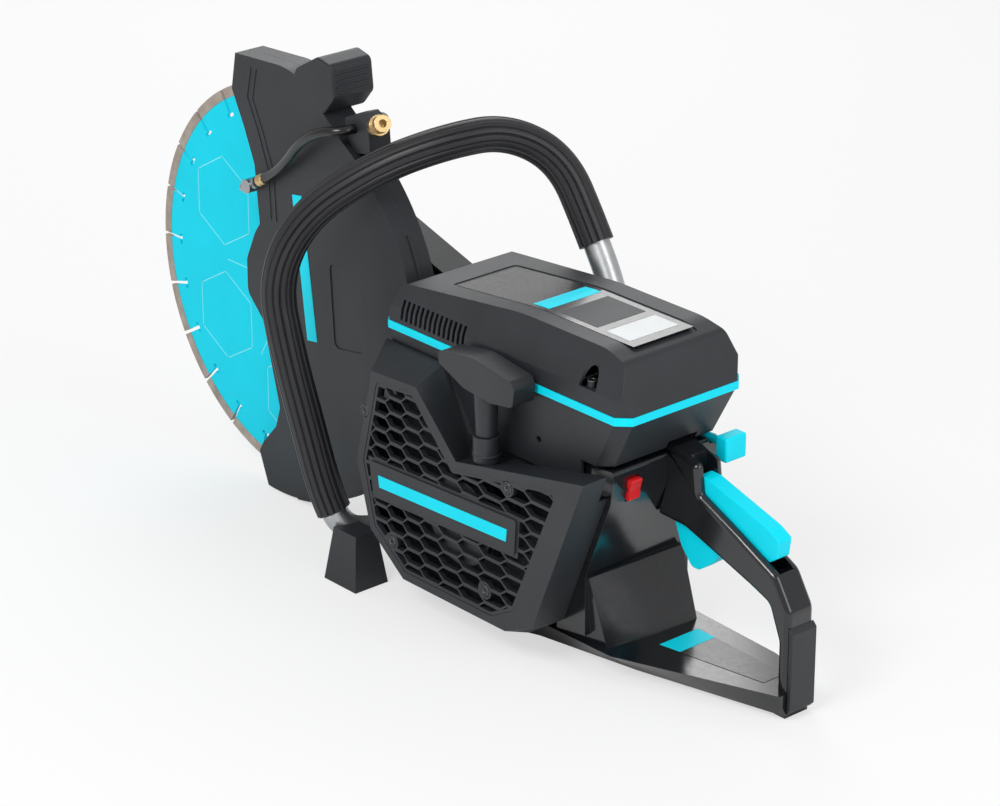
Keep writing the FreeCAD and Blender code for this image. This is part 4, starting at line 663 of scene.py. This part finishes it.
PLAQUE_Y = 93.15
prism("plaque_accent", [(-224, 108.4), (-378, 115.4), (-376.8, 104.6), (-225.4, 98.2)], "y",
      PLAQUE_Y, PLAQUE_Y + 0.35, TRIM, "frame", place=body_at, bevel=0.1)
BASE_TOP = 22.0
prism("base_label", [(-462, 12), (-560, -4), (-560, -26), (-462, -30)], "z",
      BASE_TOP, BASE_TOP + 0.3, PANEL, "frame", place=body_at, bevel=0.0)
prism("base_label_band", [(-462.5, 11.4), (-482, 8.2), (-482, -29), (-462.5, -29.6)], "z",
      BASE_TOP + 0.2, BASE_TOP + 0.42, TRIM, "frame", place=body_at, bevel=0.0)

# ------------------------------------------------------------------ floor, light, camera
FLOOR_HALF = 30.0                # metres
FLOOR_DROP = 0.0005              # metres, so that the floor and the feet don't share a plane
FLOOR_GREY = 0.90
FLOOR_GLOW = 0.62                # share of plain white in what the camera sees of the floor
SKY_STRENGTH = 0.55
WHITE = (1.0, 1.0, 1.0, 1.0)
floor_mesh = bpy.data.meshes.new("floor")
floor_mesh.from_pydata([(-FLOOR_HALF, -FLOOR_HALF, 0), (FLOOR_HALF, -FLOOR_HALF, 0),
                        (FLOOR_HALF, FLOOR_HALF, 0), (-FLOOR_HALF, FLOOR_HALF, 0)], [], [(0, 1, 2, 3)])
floor = bpy.data.objects.new("floor", floor_mesh)
bpy.context.scene.collection.objects.link(floor)
floor.location.z = -FLOOR_DROP

white = bpy.data.materials.new("floor_white")
white.use_nodes = True
nodes = white.node_tree.nodes
wires = white.node_tree.links
nodes.clear()
floor_out = nodes.new("ShaderNodeOutputMaterial")
matte = nodes.new("ShaderNodeBsdfDiffuse")
matte.inputs[0].default_value = (FLOOR_GREY, FLOOR_GREY, FLOOR_GREY, 1.0)
pale = nodes.new("ShaderNodeEmission")
seen = nodes.new("ShaderNodeLightPath")
part_pale = nodes.new("ShaderNodeMath")
part_pale.operation = "MULTIPLY"
part_pale.inputs[1].default_value = FLOOR_GLOW
blend = nodes.new("ShaderNodeMixShader")
wires.new(seen.outputs["Is Camera Ray"], part_pale.inputs[0])
wires.new(part_pale.outputs[0], blend.inputs[0])
wires.new(matte.outputs[0], blend.inputs[1])
wires.new(pale.outputs[0], blend.inputs[2])
wires.new(blend.outputs[0], floor_out.inputs[0])
floor_mesh.materials.append(white)

world = bpy.data.worlds.new("studio")
bpy.context.scene.world = world
world.use_nodes = True
tree = world.node_tree
tree.nodes.clear()
world_out = tree.nodes.new("ShaderNodeOutputWorld")
sky = tree.nodes.new("ShaderNodeBackground")
sky.inputs[0].default_value = WHITE
sky.inputs[1].default_value = SKY_STRENGTH
backdrop = tree.nodes.new("ShaderNodeBackground")
backdrop.inputs[0].default_value = WHITE
backdrop.inputs[1].default_value = 1.0
path = tree.nodes.new("ShaderNodeLightPath")
choose = tree.nodes.new("ShaderNodeMixShader")
tree.links.new(path.outputs["Is Camera Ray"], choose.inputs[0])
tree.links.new(sky.outputs[0], choose.inputs[1])
tree.links.new(backdrop.outputs[0], choose.inputs[2])
tree.links.new(choose.outputs[0], world_out.inputs[0])


def area_lamp(name, place, target, size, power):
    data = bpy.data.lights.new(name, "AREA")
    data.shape = "RECTANGLE"
    data.size, data.size_y = size
    data.energy = power
    lamp = bpy.data.objects.new(name, data)
    bpy.context.scene.collection.objects.link(lamp)
    lamp.location = place
    lamp.rotation_euler = (Vector(target) - Vector(place)).to_track_quat("-Z", "Y").to_euler()


# Places and sizes of the lamps are in metres, powers in watts.
LAMP_TARGET = (0.0, 0.0, 0.18)
for lamp_name, lamp_place, lamp_size, lamp_power in (
        ("key", (-0.5, 1.7, 1.9), (1.0, 0.8), 26.0),
        ("fill", (-2.1, -0.3, 1.2), (1.0, 1.4), 13.0),
        ("rim", (1.6, -1.2, 1.6), (1.2, 1.2), 14.0)):
    area_lamp(lamp_name, lamp_place, LAMP_TARGET, lamp_size, lamp_power)

# The camera was fitted to the blade's circle and the body's lines in the photo.
LENS = 129.6
SENSOR_WIDTH = 36.0
CAMERA_PLACE = (-2226.6, 1724.0, 1282.3)
CAMERA_AHEAD = (0.6905, -0.6066, -0.3939)
CAMERA_UP = (0.2960, -0.2600, 0.9191)
camera_data = bpy.data.cameras.new("camera")
camera_data.lens = LENS
camera_data.sensor_width = SENSOR_WIDTH
camera_data.clip_end = 100.0
camera = bpy.data.objects.new("camera", camera_data)
bpy.context.scene.collection.objects.link(camera)
ahead = Vector(CAMERA_AHEAD).normalized()
up = Vector(CAMERA_UP)
up = (up - ahead * up.dot(ahead)).normalized()
turn = Matrix((ahead.cross(up), up, -ahead)).transposed()
camera.matrix_world = Matrix.Translation(at(*CAMERA_PLACE)) @ turn.to_4x4()
bpy.context.scene.camera = camera
bpy.context.scene.view_settings.view_transform = "Standard"
